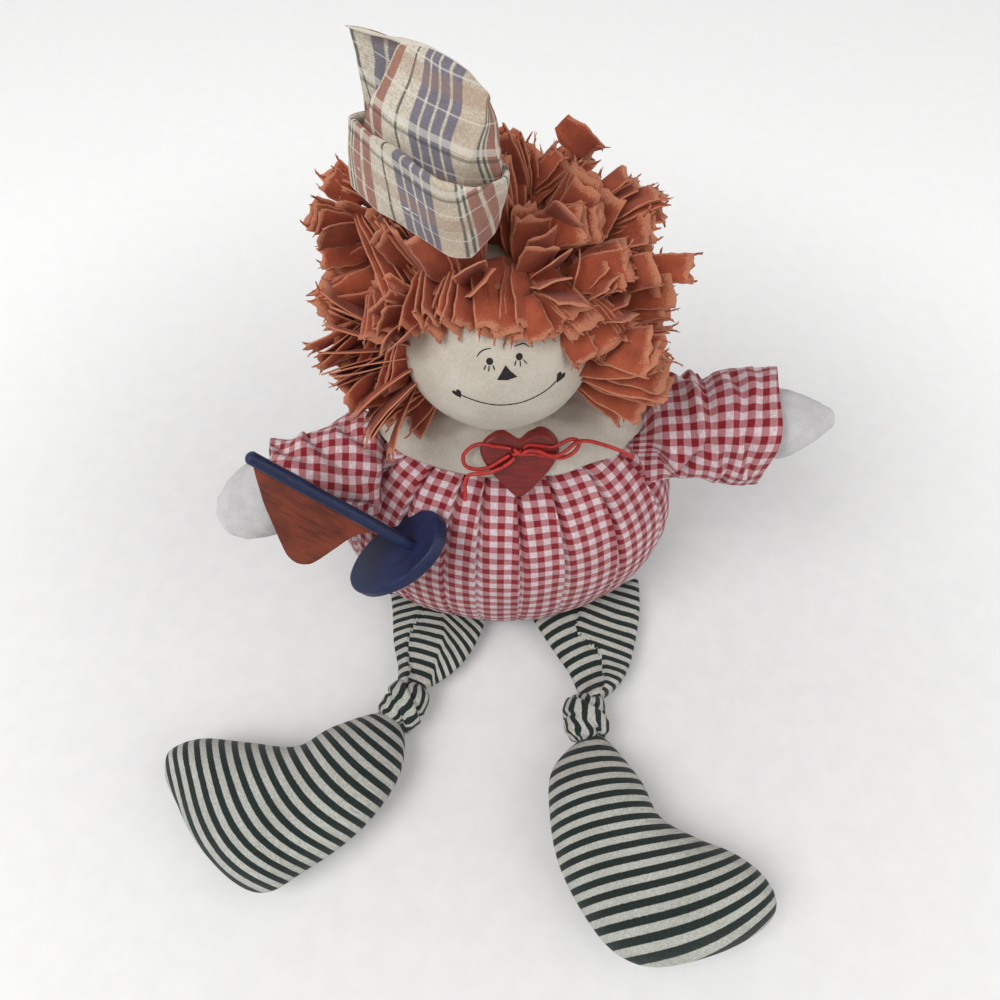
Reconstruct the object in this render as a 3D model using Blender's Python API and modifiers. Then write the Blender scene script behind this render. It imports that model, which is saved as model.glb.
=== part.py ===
"""Rag doll with a seated stuffed body, knotted legs, strip hair and a toy boat.

Lengths are metres. Z is up, the doll faces -Y and its own left is at +X.
The origin is the middle of the flat seat that the doll rests on.
"""
import math

import bmesh
import bpy
from mathutils import Matrix, Vector

# Clearances and cutting allowances
GAP = 0.0003
FLAT_CUT = 0.0005
WELD = 0.0001
CUTTER_REACH = 0.4
OUTLINE_STEPS = 2

# Body: a stuffed cotton egg, wide at the seat
BODY_HEIGHT = 0.127
BODY_HALF_WIDTH = 0.0815
BODY_HALF_DEPTH = 0.0495
BODY_LEAN = 0.004
BODY_HEIGHT_SHARES = (0.0, 0.0, 0.05, 0.17, 0.35, 0.53, 0.69, 0.83, 0.94, 1.0)
BODY_WIDTH_SHARES = (0.0, 0.42, 0.76, 0.92, 1.0, 1.0, 0.9, 0.74, 0.46, 0.0)
BODY_DEPTH_SHARES = (0.0, 0.42, 0.78, 0.93, 1.0, 0.96, 0.84, 0.66, 0.42, 0.0)
SEAM_TILT = math.radians(30)
SEAM_HEIGHT = 0.033

# Bag of pellets that weights the seat
POUCH_HALF_WIDTH = 0.042
POUCH_HALF_DEPTH = 0.026
POUCH_HALF_HEIGHT = 0.013
POUCH_HEIGHT = 0.030
POUCH_BACK = 0.006
POUCH_SEGMENTS = 16
POUCH_BANDS = 8
BODY_SEGMENTS = 18

# Neck, with the ball that the head nods on
NECK_X = 0.002
NECK_Y = 0.004
NECK_BASE_RADIUS = 0.015
NECK_WAIST_RADIUS = 0.0105
NECK_BALL_RADIUS = 0.0135
NECK_BALL_PLAY = 0.0009
NECK_SOCKET_DEPTH = 0.010
NECK_FOOT_HEIGHT = 0.006
NOD_HEIGHT = 0.0215
NECK_STEPS = 16
NECK_BALL_BANDS = 8
WELL_SEGMENTS = 28

# Collar: a padded muslin ring on the shoulders
COLLAR_HALF_WIDTH = 0.0595
COLLAR_HALF_DEPTH = 0.0385
COLLAR_BACK = 0.009
COLLAR_DROP = 0.0145
COLLAR_RISE = 0.003
COLLAR_HOLE_RADIUS = 0.0165
COLLAR_EDGE = 0.0055
COLLAR_LIP = 0.0014
COLLAR_STEPS = 28
COLLAR_BANDS = 6
COLLAR_SLOPE_POWER = 1.6

# Head: a stuffed muslin ball
HEAD_HALF_WIDTH = 0.0345
HEAD_HALF_DEPTH = 0.0335
HEAD_HALF_HEIGHT = 0.0345
HEAD_ABOVE_NOD = 0.0310
HEAD_FORWARD = 0.0060
HEAD_ASIDE = -0.0040
HEAD_SEGMENTS = 16
HEAD_HEIGHT_SHARES = (-1.0, -0.9, -0.58, -0.15, 0.3, 0.68, 0.93, 1.0)
HEAD_WIDTH_SHARES = (0.0, 0.46, 0.85, 1.04, 1.02, 0.77, 0.39, 0.0)

# Shoulders, sleeves and arms: their places are from the body's top
SHOULDER_LEFT = Vector((0.0560, 0.0040, -0.0250))
SHOULDER_RIGHT = Vector((-0.0520, -0.0030, -0.0290))
CUFF_LEFT = Vector((0.1120, 0.0060, -0.0160))
CUFF_RIGHT = Vector((-0.0940, -0.0205, -0.0265))
HAND_TIP_LEFT = Vector((0.1430, 0.0080, -0.0140))
HAND_TIP_RIGHT = Vector((-0.1215, -0.0290, -0.0370))
SLEEVE_WALL = 0.0015
CUFF_RADIUS = 0.0245
ARM_RADIUS = 0.0095
HAND_RADIUS = 0.0155
SLEEVE_STEPS = 18
SLEEVE_LENGTH_SHARES = (1.0, 0.86, 0.5, 0.22, 0.1, 0.03)
SLEEVE_RADIUS_SHARES = (0.97, 1.0, 0.91, 0.8, 0.62)
ARM_SEGMENTS = 10
ARM_ROOT_SHARE = 0.6
ARM_LENGTH_SHARES = (0.45, 0.72)
HAND_SWELL_SHARE = 0.2
HAND_FULL_SHARE = 0.45
HAND_END_SHARE = 0.4
HAND_RADIUS_SHARES = (0.86, 1.0, 0.72)
RAISE_LEFT = math.radians(20)
LOWER_LEFT = math.radians(-25)
RAISE_RIGHT = math.radians(12)
LOWER_RIGHT = math.radians(-6)
SWEEP_STEPS = 3
HULL_SWEEP_STEPS = 7

# Legs: a flat cloth thigh, a knot for a knee and a stuffed boot
HIP_LEFT = Vector((0.0450, -0.0280, 0.0090))
HIP_RIGHT = Vector((-0.0345, -0.0320, 0.0090))
HIP_TURN_LEFT = math.radians(25)
HIP_TURN_RIGHT = math.radians(-17)
HIP_HALF_WIDTH_LEFT = 0.0285
HIP_HALF_WIDTH_RIGHT = 0.0265
KNEE_LEFT = (0.0385, -0.0895)
KNEE_RIGHT = (-0.0470, -0.0830)
KNOT_RADIUS = 0.0115
THIGH_THICKNESS = 0.0085
THIGH_SEGMENTS = 14
THIGH_RING_SHARES = (
    (-0.07, 0.0, 0.0), (-0.05, 0.75, 0.6), (0.0, 1.0, 1.0), (0.25, 1.0, 0.95), (0.5, 0.84, 0.9),
    (0.7, 0.64, 1.0), (0.86, 0.4, 1.1), (0.97, 0.28, 1.0), (1.0, 0.0, 0.0))
HIP_ROOM_REACH = 0.0330
HIP_ROOM_RADIUS = 0.0038
HIP_ROOM_BACK_STEPS = 6
HIP_ROOM_FRONT_STEPS = 4
KNOT_SEGMENTS = 16
KNOT_BANDS = 10
BOOT_LENGTH = 0.0990
BOOT_HALF_THICKNESS = 0.0160
BOOT_NECK_SHARE = 0.42
BOOT_FULL_SHARES = (0.05, 0.42)
BOOT_ROUND_POWER = 0.72
BOOT_SEGMENTS = 22
BOOT_BANDS = 6
BOOT_TURN_LEFT = math.radians(7)
BOOT_TURN_RIGHT = math.radians(-35)
BOOT_CENTRE_SHARES = (0.64, 0.10)
BOOT_OUTLINE_SHARES = (
    (0.07, 0.06), (0.29, 0.19), (0.46, 0.245), (0.57, 0.39), (0.66, 0.56),
    (0.77, 0.65), (0.87, 0.64), (0.945, 0.55), (1.0, 0.35), (1.01, 0.10),
    (0.96, -0.05), (0.83, -0.145), (0.62, -0.23), (0.42, -0.25), (0.22, -0.205),
    (0.07, -0.06))
HIP_RAISE = math.radians(50)
HIP_LOWER = math.radians(-75)

# Toy boat, held in the crook of the right arm: its foot is from the body's top
BOAT_FOOT = Vector((-0.0380, -0.0436, -0.0334))
MAST_DIRECTION = Vector((-0.666, 0.032, 0.745))
BOAT_LENGTHWAYS = Vector((-0.745, -0.042, -0.666))
MAST_RADIUS = 0.00275
MAST_LENGTH = 0.0772
MAST_SINK = 0.003
MAST_SIDES = 20
MAST_ROUND = 0.0006
HULL_LENGTH = 0.0560
HULL_WIDTH = 0.0320
HULL_THICKNESS = 0.0058
HULL_PLAY = 0.0006
HULL_AHEAD = 0.0124
HULL_ASIDE = -0.0018
HULL_OUTLINE_SHARES = (
    (0.5, 0.0), (0.43, 0.25), (0.275, 0.42), (0.05, 0.5), (-0.2, 0.49), (-0.39, 0.36),
    (-0.48, 0.18), (-0.5, 0.0))
SAIL_THICKNESS = 0.0022
SAIL_HEIGHT = 0.0575
SAIL_WIDTH = 0.0395
SAIL_LIFT = 0.0187
SAIL_OUTLINE_SHARES = (
    (0.0, 0.0), (0.96, 0.0), (1.0, 0.06), (0.93, 0.22), (0.5, 0.62), (0.06, 0.98), (0.0, 1.0))

# Wooden heart and its string bow: its centre is from the body's top
HEART_WIDTH = 0.0310
HEART_HEIGHT = 0.0275
HEART_THICKNESS = 0.0042
HEART_ROUND = 0.0010
HEART_CENTRE = Vector((0.0062, -0.0214, -0.0055))
HEART_NORMAL = Vector((0.0, -0.80, 0.60))
HEART_OUTLINE_SHARES = (
    (0.0, -0.5), (0.22, -0.30), (0.42, -0.06), (0.5, 0.18), (0.44, 0.38), (0.30, 0.49),
    (0.14, 0.46), (0.0, 0.34))
STRING_DIAMETER = 0.0016
BOW_KNOT_RADIUS = 0.0021
BOW_KNOT_SEGMENTS = 10
BOW_KNOT_BANDS = 8
MILLIMETRE = 0.001
BOW_KNOT = (-1.1, 4.9)
BOW_ROUTES = {
    "bow_loop_left": (
        (-3.3, 6.0, 0.8), (-6.5, 6.4, 0.0), (-10.0, 6.8, 0.0), (-14.3, 7.7, 0.0), (-17.6, 7.1, 0.0),
        (-20.3, 5.3, 0.0), (-22.1, 2.5, 0.0), (-21.4, -0.8, 0.0), (-18.3, -2.4, 0.0),
        (-14.4, -2.4, 0.0), (-10.8, -1.2, 0.0), (-7.3, 1.1, 0.0), (-3.8, 3.4, 0.8)),
    "bow_loop_right": (
        (1.1, 6.2, 0.8), (3.5, 7.3, 0.0), (7.8, 7.0, 0.0), (12.5, 6.5, 0.0), (16.3, 8.1, 0.0),
        (20.1, 9.7, 0.0), (22.9, 8.5, 0.0), (22.2, 5.7, 0.0), (19.6, 3.3, 0.0), (16.1, 2.1, 0.0),
        (12.2, 2.5, 0.0), (7.9, 3.3, 0.0), (4.2, 3.8, 0.0), (1.3, 3.7, 0.8)),
    "bow_tail_left": (
        (-2.0, 2.5, 0.8), (-4.0, 0.0, 0.0), (-7.2, -2.6, 0.0), (-10.5, -4.4, 0.0), (-14.8, -5.7, 0.0),
        (-18.7, -6.1, 0.0), (-21.1, -7.8, 0.0), (-22.7, -10.7, 0.0), (-22.0, -13.6, 0.0),
        (-20.6, -17.6, 0.0)),
    "bow_tail_right": (
        (-0.1, 2.6, 0.8), (2.6, 0.8, 0.0), (6.7, -0.8, 0.0), (10.4, -1.2, 0.0), (13.8, -1.2, 0.0),
        (18.5, -0.4, 0.0), (22.4, 1.3, 0.0), (26.6, 2.9, 0.0), (31.2, 3.7, 0.0), (36.7, 3.3, 0.0),
        (41.0, 2.9, 0.0), (45.0, 0.9, 0.0))}

# Hat: a folded boat hat with an upturned brim
HAT_LENGTH = 0.0480
HAT_WIDTH = 0.0310
HAT_BRIM_HEIGHT = 0.0200
HAT_BRIM_WALL = 0.0022
HAT_CROWN_HEIGHT = 0.0440
HAT_RIDGE_LENGTH = 0.0420
HAT_RIDGE_WIDTH = 0.0040
HAT_PLACE = Vector((-0.0260, -0.0060, 0.0480))
HAT_CROWN_LEAN = -0.0080
HAT_WAIST_SHARE = 0.75
HAT_WAIST_WIDTH_SHARE = 0.6
HAT_ROOM_SHARE = 1.5
HAT_YAW = math.radians(-24)
HAT_TILT = math.radians(14)
HAT_SEGMENTS = 22
HAT_ROOM_GAP = 0.0006
LENS_POINT_SHARE = 0.25

# Hair: bunches of torn cloth strips sewn over the head
STRIP_WIDTH = 0.0110
STRIP_BASE_WIDTH = 0.0050
STRIP_THICKNESS = 0.0018
STRIP_LENGTH = 0.0290
STRIPS_IN_BUNCH = 5
BUNCH_ROOT_RADIUS = 0.0085
BUNCH_ROOT_HEIGHT = 0.0026
BUNCH_SEGMENTS = 8
BUNCH_BANDS = 4
BUNCH_LIFT_SHARE = 0.6
BUNCH_BASE_SHARE = 0.97
STRIP_TWIST = 0.6
BUNCH_SPREAD = math.radians(11)
FACE_TILT = math.radians(11)
HAIR_ROWS = (
    (math.radians(72), math.radians(38), 6),
    (math.radians(106), math.radians(37), 7),
    (math.radians(142), math.radians(56), 5))
HAIR_NECK_LIMIT = -0.42

PARTS = "rag_doll"
CUTTERS = "cutters"


def clear_scene():
    """Remove every object, so that the model stands alone."""
    for item in list(bpy.data.objects):
        bpy.data.objects.remove(item, do_unlink=True)


def make_collection(name):
    """Return a new collection linked to the scene."""
    group = bpy.data.collections.new(name)
    bpy.context.scene.collection.children.link(group)
    return group


def make_material(name, colour, roughness, metallic=0.0):
    """Return a Principled material of one colour."""
    made = bpy.data.materials.new(name)
    made.use_nodes = True
    shader = made.node_tree.nodes["Principled BSDF"]
    shader.inputs["Base Color"].default_value = (*colour, 1.0)
    shader.inputs["Roughness"].default_value = roughness
    shader.inputs["Metallic"].default_value = metallic
    return made


def add_object(name, mesh, colour, location=(0.0, 0.0, 0.0)):
    """Link a mesh as one named part with its own material."""
    part = bpy.data.objects.new(name, mesh)
    part.location = location
    bpy.data.collections[PARTS].objects.link(part)
    mesh.materials.append(make_material(name, *colour))
    return part


def add_cutter(name, mesh, location=(0.0, 0.0, 0.0)):
    """Link a mesh as a cutter, which is never part of the doll."""
    cutter = bpy.data.objects.new(name, mesh)
    cutter.location = location
    cutter.hide_render = True
    cutter.display_type = "WIRE"
    bpy.data.collections[CUTTERS].objects.link(cutter)
    return cutter


def mesh_from(bm, name):
    """Finish a bmesh as a smooth shaded mesh."""
    bmesh.ops.recalc_face_normals(bm, faces=bm.faces)
    mesh = bpy.data.meshes.new(name)
    bm.to_mesh(mesh)
    bm.free()
    mesh.shade_smooth()
    mesh.set_sharp_from_angle(angle=math.radians(40))
    return mesh


def cut(part, cutter):
    """Take a cutter out of a part."""
    step = part.modifiers.new("cut_" + cutter.name, "BOOLEAN")
    step.operation = "DIFFERENCE"
    step.solver = "EXACT"
    step.object = cutter


def soften(part, levels=1):
    """Round a coarse cage."""
    step = part.modifiers.new("round", "SUBSURF")
    step.levels = levels
    step.render_levels = levels


def aim(part, direction):
    """Turn a part so that its own Z runs along a direction."""
    part.rotation_mode = "QUATERNION"
    part.rotation_quaternion = Vector(direction).to_track_quat("Z", "Y")


def stuffed_mesh(name, stations, segments):
    """Shape a UV sphere into rings: each station is a centre, half width and half depth."""
    bm = bmesh.new()
    bands = len(stations) - 1
    bmesh.ops.create_uvsphere(bm, u_segments=segments, v_segments=bands, radius=1.0)
    for vert in bm.verts:
        polar = math.acos(max(-1.0, min(1.0, -vert.co.z)))
        centre, half_width, half_depth = stations[round(polar / math.pi * bands)]
        turn = math.atan2(vert.co.y, vert.co.x)
        vert.co = Vector(centre) + Vector((half_width * math.cos(turn), half_depth * math.sin(turn), 0.0))
    return mesh_from(bm, name)


def body_mesh(name, swell=0.0):
    """Return the body's egg, swollen by an even clearance."""
    stations = []
    for high, wide, deep in zip(BODY_HEIGHT_SHARES, BODY_WIDTH_SHARES, BODY_DEPTH_SHARES):
        height = BODY_HEIGHT * high - FLAT_CUT
        height += swell if high > 0.5 else -swell
        pole = wide == 0.0
        half_width = 0.0 if pole else BODY_HALF_WIDTH * wide + swell
        half_depth = 0.0 if pole else BODY_HALF_DEPTH * deep + swell
        stations.append(((0.0, BODY_LEAN * high, height), half_width, half_depth))
    return stuffed_mesh(name, stations, BODY_SEGMENTS)


def box_cutter(name, size, centre, tilt=0.0):
    """Return a box cutter, tilted about X."""
    bm = bmesh.new()
    bmesh.ops.create_cube(bm, size=1.0)
    bmesh.ops.scale(bm, vec=size, verts=bm.verts)
    cutter = add_cutter(name, mesh_from(bm, name), centre)
    cutter.rotation_euler = (tilt, 0.0, 0.0)
    return cutter


def half_space(name, height, tilt, above):
    """Return a block whose face is a plane tilted about X, on one side of it."""
    normal = Matrix.Rotation(tilt, 3, "X") @ Vector((0.0, 0.0, 1.0))
    offset = CUTTER_REACH / 2 if above else -CUTTER_REACH / 2
    centre = Vector((0.0, 0.0, height)) + normal * offset
    return box_cutter(name, (CUTTER_REACH, CUTTER_REACH, CUTTER_REACH), centre, tilt)


def ball_mesh(name, half_sizes, segments, bands):
    """Return an ellipsoid."""
    bm = bmesh.new()
    bmesh.ops.create_uvsphere(bm, u_segments=segments, v_segments=bands, radius=1.0)
    bmesh.ops.scale(bm, vec=half_sizes, verts=bm.verts)
    return mesh_from(bm, name)


def floor_cutter():
    """Return the block below the surface that the doll sits on."""
    return half_space("floor_block", 0.0, 0.0, above=False)


def make_body(floor):
    """Gingham body, dark seat and the pellet bag between them."""
    torso = add_object("torso", body_mesh("torso"), ((0.55, 0.18, 0.2), 0.9))
    soften(torso)
    seat = add_object("seat_panel", body_mesh("seat_panel"), ((0.05, 0.06, 0.09), 0.9))
    soften(seat)
    cut(torso, half_space("below_seam", SEAM_HEIGHT + GAP / 2, SEAM_TILT, above=False))
    cut(seat, half_space("above_seam", SEAM_HEIGHT - GAP / 2, SEAM_TILT, above=True))
    cut(seat, floor)
    cut(torso, floor)
    centre = Vector((0.0, POUCH_BACK, POUCH_HEIGHT))
    sizes = Vector((POUCH_HALF_WIDTH, POUCH_HALF_DEPTH, POUCH_HALF_HEIGHT))
    room = sizes + Vector((GAP, GAP, GAP)) * 2
    pocket = add_cutter("pouch_pocket", ball_mesh("pouch_pocket", room, POUCH_SEGMENTS, POUCH_BANDS), centre)
    pocket.rotation_euler = (SEAM_TILT, 0.0, 0.0)
    cut(torso, pocket)
    cut(seat, pocket)
    pouch = add_object("pellet_pouch", ball_mesh("pellet_pouch", sizes, POUCH_SEGMENTS, POUCH_BANDS),
                       ((0.7, 0.66, 0.58), 0.8), centre)
    pouch.rotation_euler = (SEAM_TILT, 0.0, 0.0)
    return torso, seat


def from_top(place):
    """A place given from the body's top."""
    return place + Vector((0.0, 0.0, BODY_HEIGHT))


def neck_top():
    """Height of the body under the neck."""
    return BODY_HEIGHT - NECK_SOCKET_DEPTH


def nod_centre():
    """Centre of the ball that the head sits on."""
    return Vector((NECK_X, NECK_Y, neck_top() + NOD_HEIGHT))


def turned(name, profile):
    """Turn a profile of radius and height, from top to bottom, about Z."""
    bm = bmesh.new()
    points = [bm.verts.new((radius, 0.0, height)) for radius, height in profile]
    for upper, lower in zip(points, points[1:]):
        bm.edges.new((upper, lower))
    mesh = bpy.data.meshes.new(name)
    bm.to_mesh(mesh)
    bm.free()
    return mesh


def add_screw(part, steps):
    """Sweep a profile a full turn."""
    step = part.modifiers.new("turn", "SCREW")
    step.steps = steps
    step.render_steps = steps
    step.use_merge_vertices = True
    step.merge_threshold = WELD / 10
    step.use_smooth_shade = True


def make_neck(torso):
    """Cloth neck: a foot in the body and a ball in the head."""
    base = neck_top()
    profile = []
    start = math.asin(NECK_WAIST_RADIUS / NECK_BALL_RADIUS)
    for index in range(NECK_BALL_BANDS + 1):
        angle = (math.pi - start) * index / NECK_BALL_BANDS
        profile.append((NECK_BALL_RADIUS * math.sin(angle),
                        NOD_HEIGHT + NECK_BALL_RADIUS * math.cos(angle)))
    profile.append((NECK_WAIST_RADIUS, NECK_FOOT_HEIGHT))
    profile.append((NECK_BASE_RADIUS, NECK_FOOT_HEIGHT / 2))
    profile.append((NECK_BASE_RADIUS, 0.0))
    profile.append((0.0, 0.0))
    neck = add_object("neck", turned("neck", profile), ((0.6, 0.55, 0.48), 0.9),
                      (NECK_X, NECK_Y, base))
    add_screw(neck, NECK_STEPS)
    bm = bmesh.new()
    bmesh.ops.create_cone(bm, cap_ends=True, segments=WELL_SEGMENTS, radius1=NECK_BASE_RADIUS + GAP,
                          radius2=NECK_BASE_RADIUS + GAP, depth=BODY_HEIGHT)
    well = add_cutter("neck_well", mesh_from(bm, "neck_well"),
                      (NECK_X, NECK_Y, base - GAP + BODY_HEIGHT / 2))
    cut(torso, well)


def make_collar(torso_swollen, well_radius):
    """Padded ring that slopes from the neck to the shoulders."""
    top = BODY_HEIGHT + COLLAR_RISE
    edge = BODY_HEIGHT - COLLAR_DROP
    reach = 1.0
    hole = well_radius / COLLAR_HALF_WIDTH
    profile = []
    for index in range(COLLAR_BANDS + 1):
        share = index / COLLAR_BANDS
        radius = hole + (reach - hole) * share
        profile.append((radius, top + (edge + COLLAR_EDGE / 2 - top) * share ** COLLAR_SLOPE_POWER))
    profile.append((reach + COLLAR_LIP / COLLAR_HALF_WIDTH, edge))
    profile.append((reach, edge - COLLAR_EDGE / 2))
    profile.append((hole, edge - COLLAR_EDGE / 2))
    bm = bmesh.new()
    loops = []
    for turn in range(COLLAR_STEPS):
        angle = 2 * math.pi * turn / COLLAR_STEPS
        ring = []
        for radius, height in profile:
            out = (radius - hole) / (reach - hole)
            wide = radius * COLLAR_HALF_WIDTH
            deep = well_radius + (COLLAR_HALF_DEPTH - well_radius) * out
            back = COLLAR_BACK * out
            ring.append(bm.verts.new((wide * math.cos(angle), back + deep * math.sin(angle), height)))
        loops.append(ring)
    count = len(profile)
    for turn in range(COLLAR_STEPS):
        here = loops[turn]
        there = loops[(turn + 1) % COLLAR_STEPS]
        for index in range(count):
            follow = (index + 1) % count
            bm.faces.new((here[index], here[follow], there[follow], there[index]))
    collar = add_object("collar", mesh_from(bm, "collar"), ((0.62, 0.57, 0.5), 0.9),
                        (NECK_X, NECK_Y, 0.0))
    cut(collar, torso_swollen)
    return collar


def head_centre():
    """Centre of the head ball."""
    return nod_centre() + Vector((HEAD_ASIDE, -HEAD_FORWARD, HEAD_ABOVE_NOD))


def head_mesh(name, swell=0.0):
    """Return the head's ball, about the nod centre."""
    lift = head_centre() - nod_centre()
    stations = []
    for high, wide in zip(HEAD_HEIGHT_SHARES, HEAD_WIDTH_SHARES):
        height = lift.z + (HEAD_HALF_HEIGHT + swell) * high
        pole = wide == 0.0
        half_width = 0.0 if pole else HEAD_HALF_WIDTH * wide + swell
        half_depth = 0.0 if pole else HEAD_HALF_DEPTH * wide + swell
        stations.append(((lift.x, lift.y, height), half_width, half_depth))
    return stuffed_mesh(name, stations, HEAD_SEGMENTS)


def make_head():
    """Stuffed head with the socket that its neck ball sits in."""
    head = add_object("head", head_mesh("head"), ((0.68, 0.62, 0.54), 0.85), nod_centre())
    soften(head)
    size = NECK_BALL_RADIUS + NECK_BALL_PLAY
    shape = ball_mesh("neck_socket", (size, size, size), NECK_STEPS, NECK_BALL_BANDS)
    socket = add_cutter("neck_socket", shape, nod_centre())
    cut(head, socket)


def arm_frame(shoulder, end):
    """Direction and length from a shoulder to an end point."""
    run = end - shoulder
    return run.normalized(), run.length


def sleeve_profile(length, swell=0.0):
    """Radius and height pairs of a sleeve, from cuff to armhole."""
    seat = ARM_RADIUS + GAP + SLEEVE_WALL
    radii = [share * CUFF_RADIUS for share in SLEEVE_RADIUS_SHARES] + [seat]
    return [(radius + swell, share * length) for radius, share in zip(radii, SLEEVE_LENGTH_SHARES)]


def make_sleeve(side, shoulder, cuff):
    """Gingham sleeve: a shell that flares from the armhole to the cuff."""
    direction, length = arm_frame(shoulder, cuff)
    name = "sleeve_" + side
    sleeve = add_object(name, turned(name, sleeve_profile(length)), ((0.6, 0.22, 0.25), 0.9), shoulder)
    aim(sleeve, direction)
    add_screw(sleeve, SLEEVE_STEPS)
    wall = sleeve.modifiers.new("wall", "SOLIDIFY")
    wall.thickness = SLEEVE_WALL
    wall.offset = -1.0


def make_arm(side, shoulder, cuff, tip):
    """Stuffed muslin arm that swells into a mitten hand."""
    direction, cuff_length = arm_frame(shoulder, cuff)
    length = (tip - shoulder).dot(direction)
    swell_at = cuff_length - HAND_RADIUS * HAND_SWELL_SHARE
    full_at = cuff_length + (length - cuff_length) * HAND_FULL_SHARE
    name = "arm_" + side
    root = -ARM_RADIUS * ARM_ROOT_SHARE
    rings = (
        (root, 0.0), (root * ARM_ROOT_SHARE, ARM_RADIUS * ARM_ROOT_SHARE), (0.0, ARM_RADIUS),
        (cuff_length * ARM_LENGTH_SHARES[0], ARM_RADIUS), (cuff_length * ARM_LENGTH_SHARES[1], ARM_RADIUS),
        (swell_at, HAND_RADIUS * HAND_RADIUS_SHARES[0]), (full_at, HAND_RADIUS * HAND_RADIUS_SHARES[1]),
        (length - HAND_RADIUS * HAND_END_SHARE, HAND_RADIUS * HAND_RADIUS_SHARES[2]), (length, 0.0))
    stations = [((0.0, 0.0, along), radius, radius) for along, radius in rings]
    arm = add_object(name, stuffed_mesh(name, stations, ARM_SEGMENTS), ((0.72, 0.7, 0.68), 0.85), shoulder)
    aim(arm, direction)
    soften(arm)


def spread(low, high, count):
    """Evenly spaced angles from low to high."""
    return [low + (high - low) * index / (count - 1) for index in range(count)]


def shoulder_turns(side, count):
    """Rotations of an arm about its shoulder over its range."""
    low = LOWER_LEFT if side == "left" else LOWER_RIGHT
    high = RAISE_LEFT if side == "left" else RAISE_RIGHT
    outward = 1.0 if side == "left" else -1.0
    return [Matrix.Rotation(-angle * outward, 3, "Y") for angle in spread(low, high, count)]


def sleeve_sweep(side, shoulder, cuff):
    """Cutters for the room that a sleeve turns in about its shoulder."""
    direction, length = arm_frame(shoulder, cuff)
    cutters = []
    root = -ARM_RADIUS * ARM_ROOT_SHARE
    root_rings = [(ARM_RADIUS + GAP, 0.0), (ARM_RADIUS * ARM_ROOT_SHARE, root * ARM_ROOT_SHARE), (0.0, root)]
    for index, turn in enumerate(shoulder_turns(side, SWEEP_STEPS)):
        profile = sleeve_profile(length, GAP)
        ends = [(0.0, profile[0][1] + GAP)] + profile + root_rings
        name = "sweep_" + side + "_" + str(index)
        cutter = add_cutter(name, turned(name, ends), shoulder)
        aim(cutter, turn @ direction)
        add_screw(cutter, SLEEVE_STEPS)
        cutters.append(cutter)
    return cutters


def seat_knot(place):
    """Centre of a knot that rests on the floor."""
    return Vector((place[0], place[1], KNOT_RADIUS - FLAT_CUT))


def seam_frame(turn):
    """Axes of a thigh: X along the hip seam, Y up and Z away from the body."""
    across = Vector((math.cos(turn), math.sin(turn), 0.0))
    away = Vector((math.sin(turn), -math.cos(turn), 0.0))
    return Matrix((across, Vector((0.0, 0.0, 1.0)), away)).transposed()


def thigh_mesh(name, frame, hip, knee, half_width):
    """Flat cloth tube from the hip seam to the knot, about the hip."""
    run = frame.transposed() @ (knee - hip)
    deep = THIGH_THICKNESS / 2
    stations = []
    for along, wide, thick in THIGH_RING_SHARES:
        pole = wide == 0.0
        stations.append((run * along, 0.0 if pole else half_width * wide,
                         0.0 if pole else deep * thick))
    return stuffed_mesh(name, stations, THIGH_SEGMENTS)


def hip_room(side, frame, hip, knee, half_width):
    """Cutter for the fan that a thigh turns in: a prism along the hip seam."""
    run = frame.transposed() @ (knee - hip)
    rest = math.atan2(run.y, run.z)
    radius = HIP_ROOM_RADIUS
    low = rest + HIP_LOWER
    high = rest + HIP_RAISE
    outline = []
    for angle in spread(high + math.pi / 2, low + math.pi * 3 / 2, HIP_ROOM_BACK_STEPS):
        outline.append((radius * math.sin(angle), radius * math.cos(angle)))
    for angle in spread(low, high, HIP_ROOM_FRONT_STEPS):
        outline.append((HIP_ROOM_REACH * math.sin(angle), HIP_ROOM_REACH * math.cos(angle)))
    outline[HIP_ROOM_BACK_STEPS] = (outline[HIP_ROOM_BACK_STEPS][0] - radius * math.cos(low),
                                    outline[HIP_ROOM_BACK_STEPS][1] + radius * math.sin(low))
    outline[-1] = (outline[-1][0] + radius * math.cos(high), outline[-1][1] - radius * math.sin(high))
    lean = run.x / run.length * HIP_ROOM_REACH
    inner = -half_width - GAP + min(0.0, lean)
    outer = half_width + GAP + max(0.0, lean)
    loops = [[(across, up, away) for up, away in outline] for across in (inner, outer)]
    name = "hip_room_" + side
    room = add_cutter(name, ring_mesh(name, loops, False), hip)
    set_frame(room, frame)
    return room


def make_thigh(side, hip, turn, knee, half_width, torso, seat, knot_room):
    """Ticking thigh, seated against the body and the knot."""
    frame = seam_frame(turn)
    name = "thigh_" + side
    thigh = add_object(name, thigh_mesh(name, frame, hip, knee, half_width), ((0.4, 0.42, 0.38), 0.9), hip)
    set_frame(thigh, frame)
    soften(thigh)
    cut(thigh, knot_room)
    room = hip_room(side, frame, hip, knee, half_width)
    cut(torso, room)
    cut(seat, room)


def make_knot(side, knee, floor):
    """Knot tied in the leg, and the room that it turns in."""
    name = "knee_knot_" + side
    shape = ball_mesh(name, (KNOT_RADIUS, KNOT_RADIUS, KNOT_RADIUS), KNOT_SEGMENTS, KNOT_BANDS)
    knot = add_object(name, shape, ((0.4, 0.42, 0.38), 0.9), knee)
    cut(knot, floor)
    size = KNOT_RADIUS + GAP
    room = "knot_room_" + side
    return add_cutter(room, ball_mesh(room, (size, size, size), KNOT_SEGMENTS, KNOT_BANDS), knee)


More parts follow.
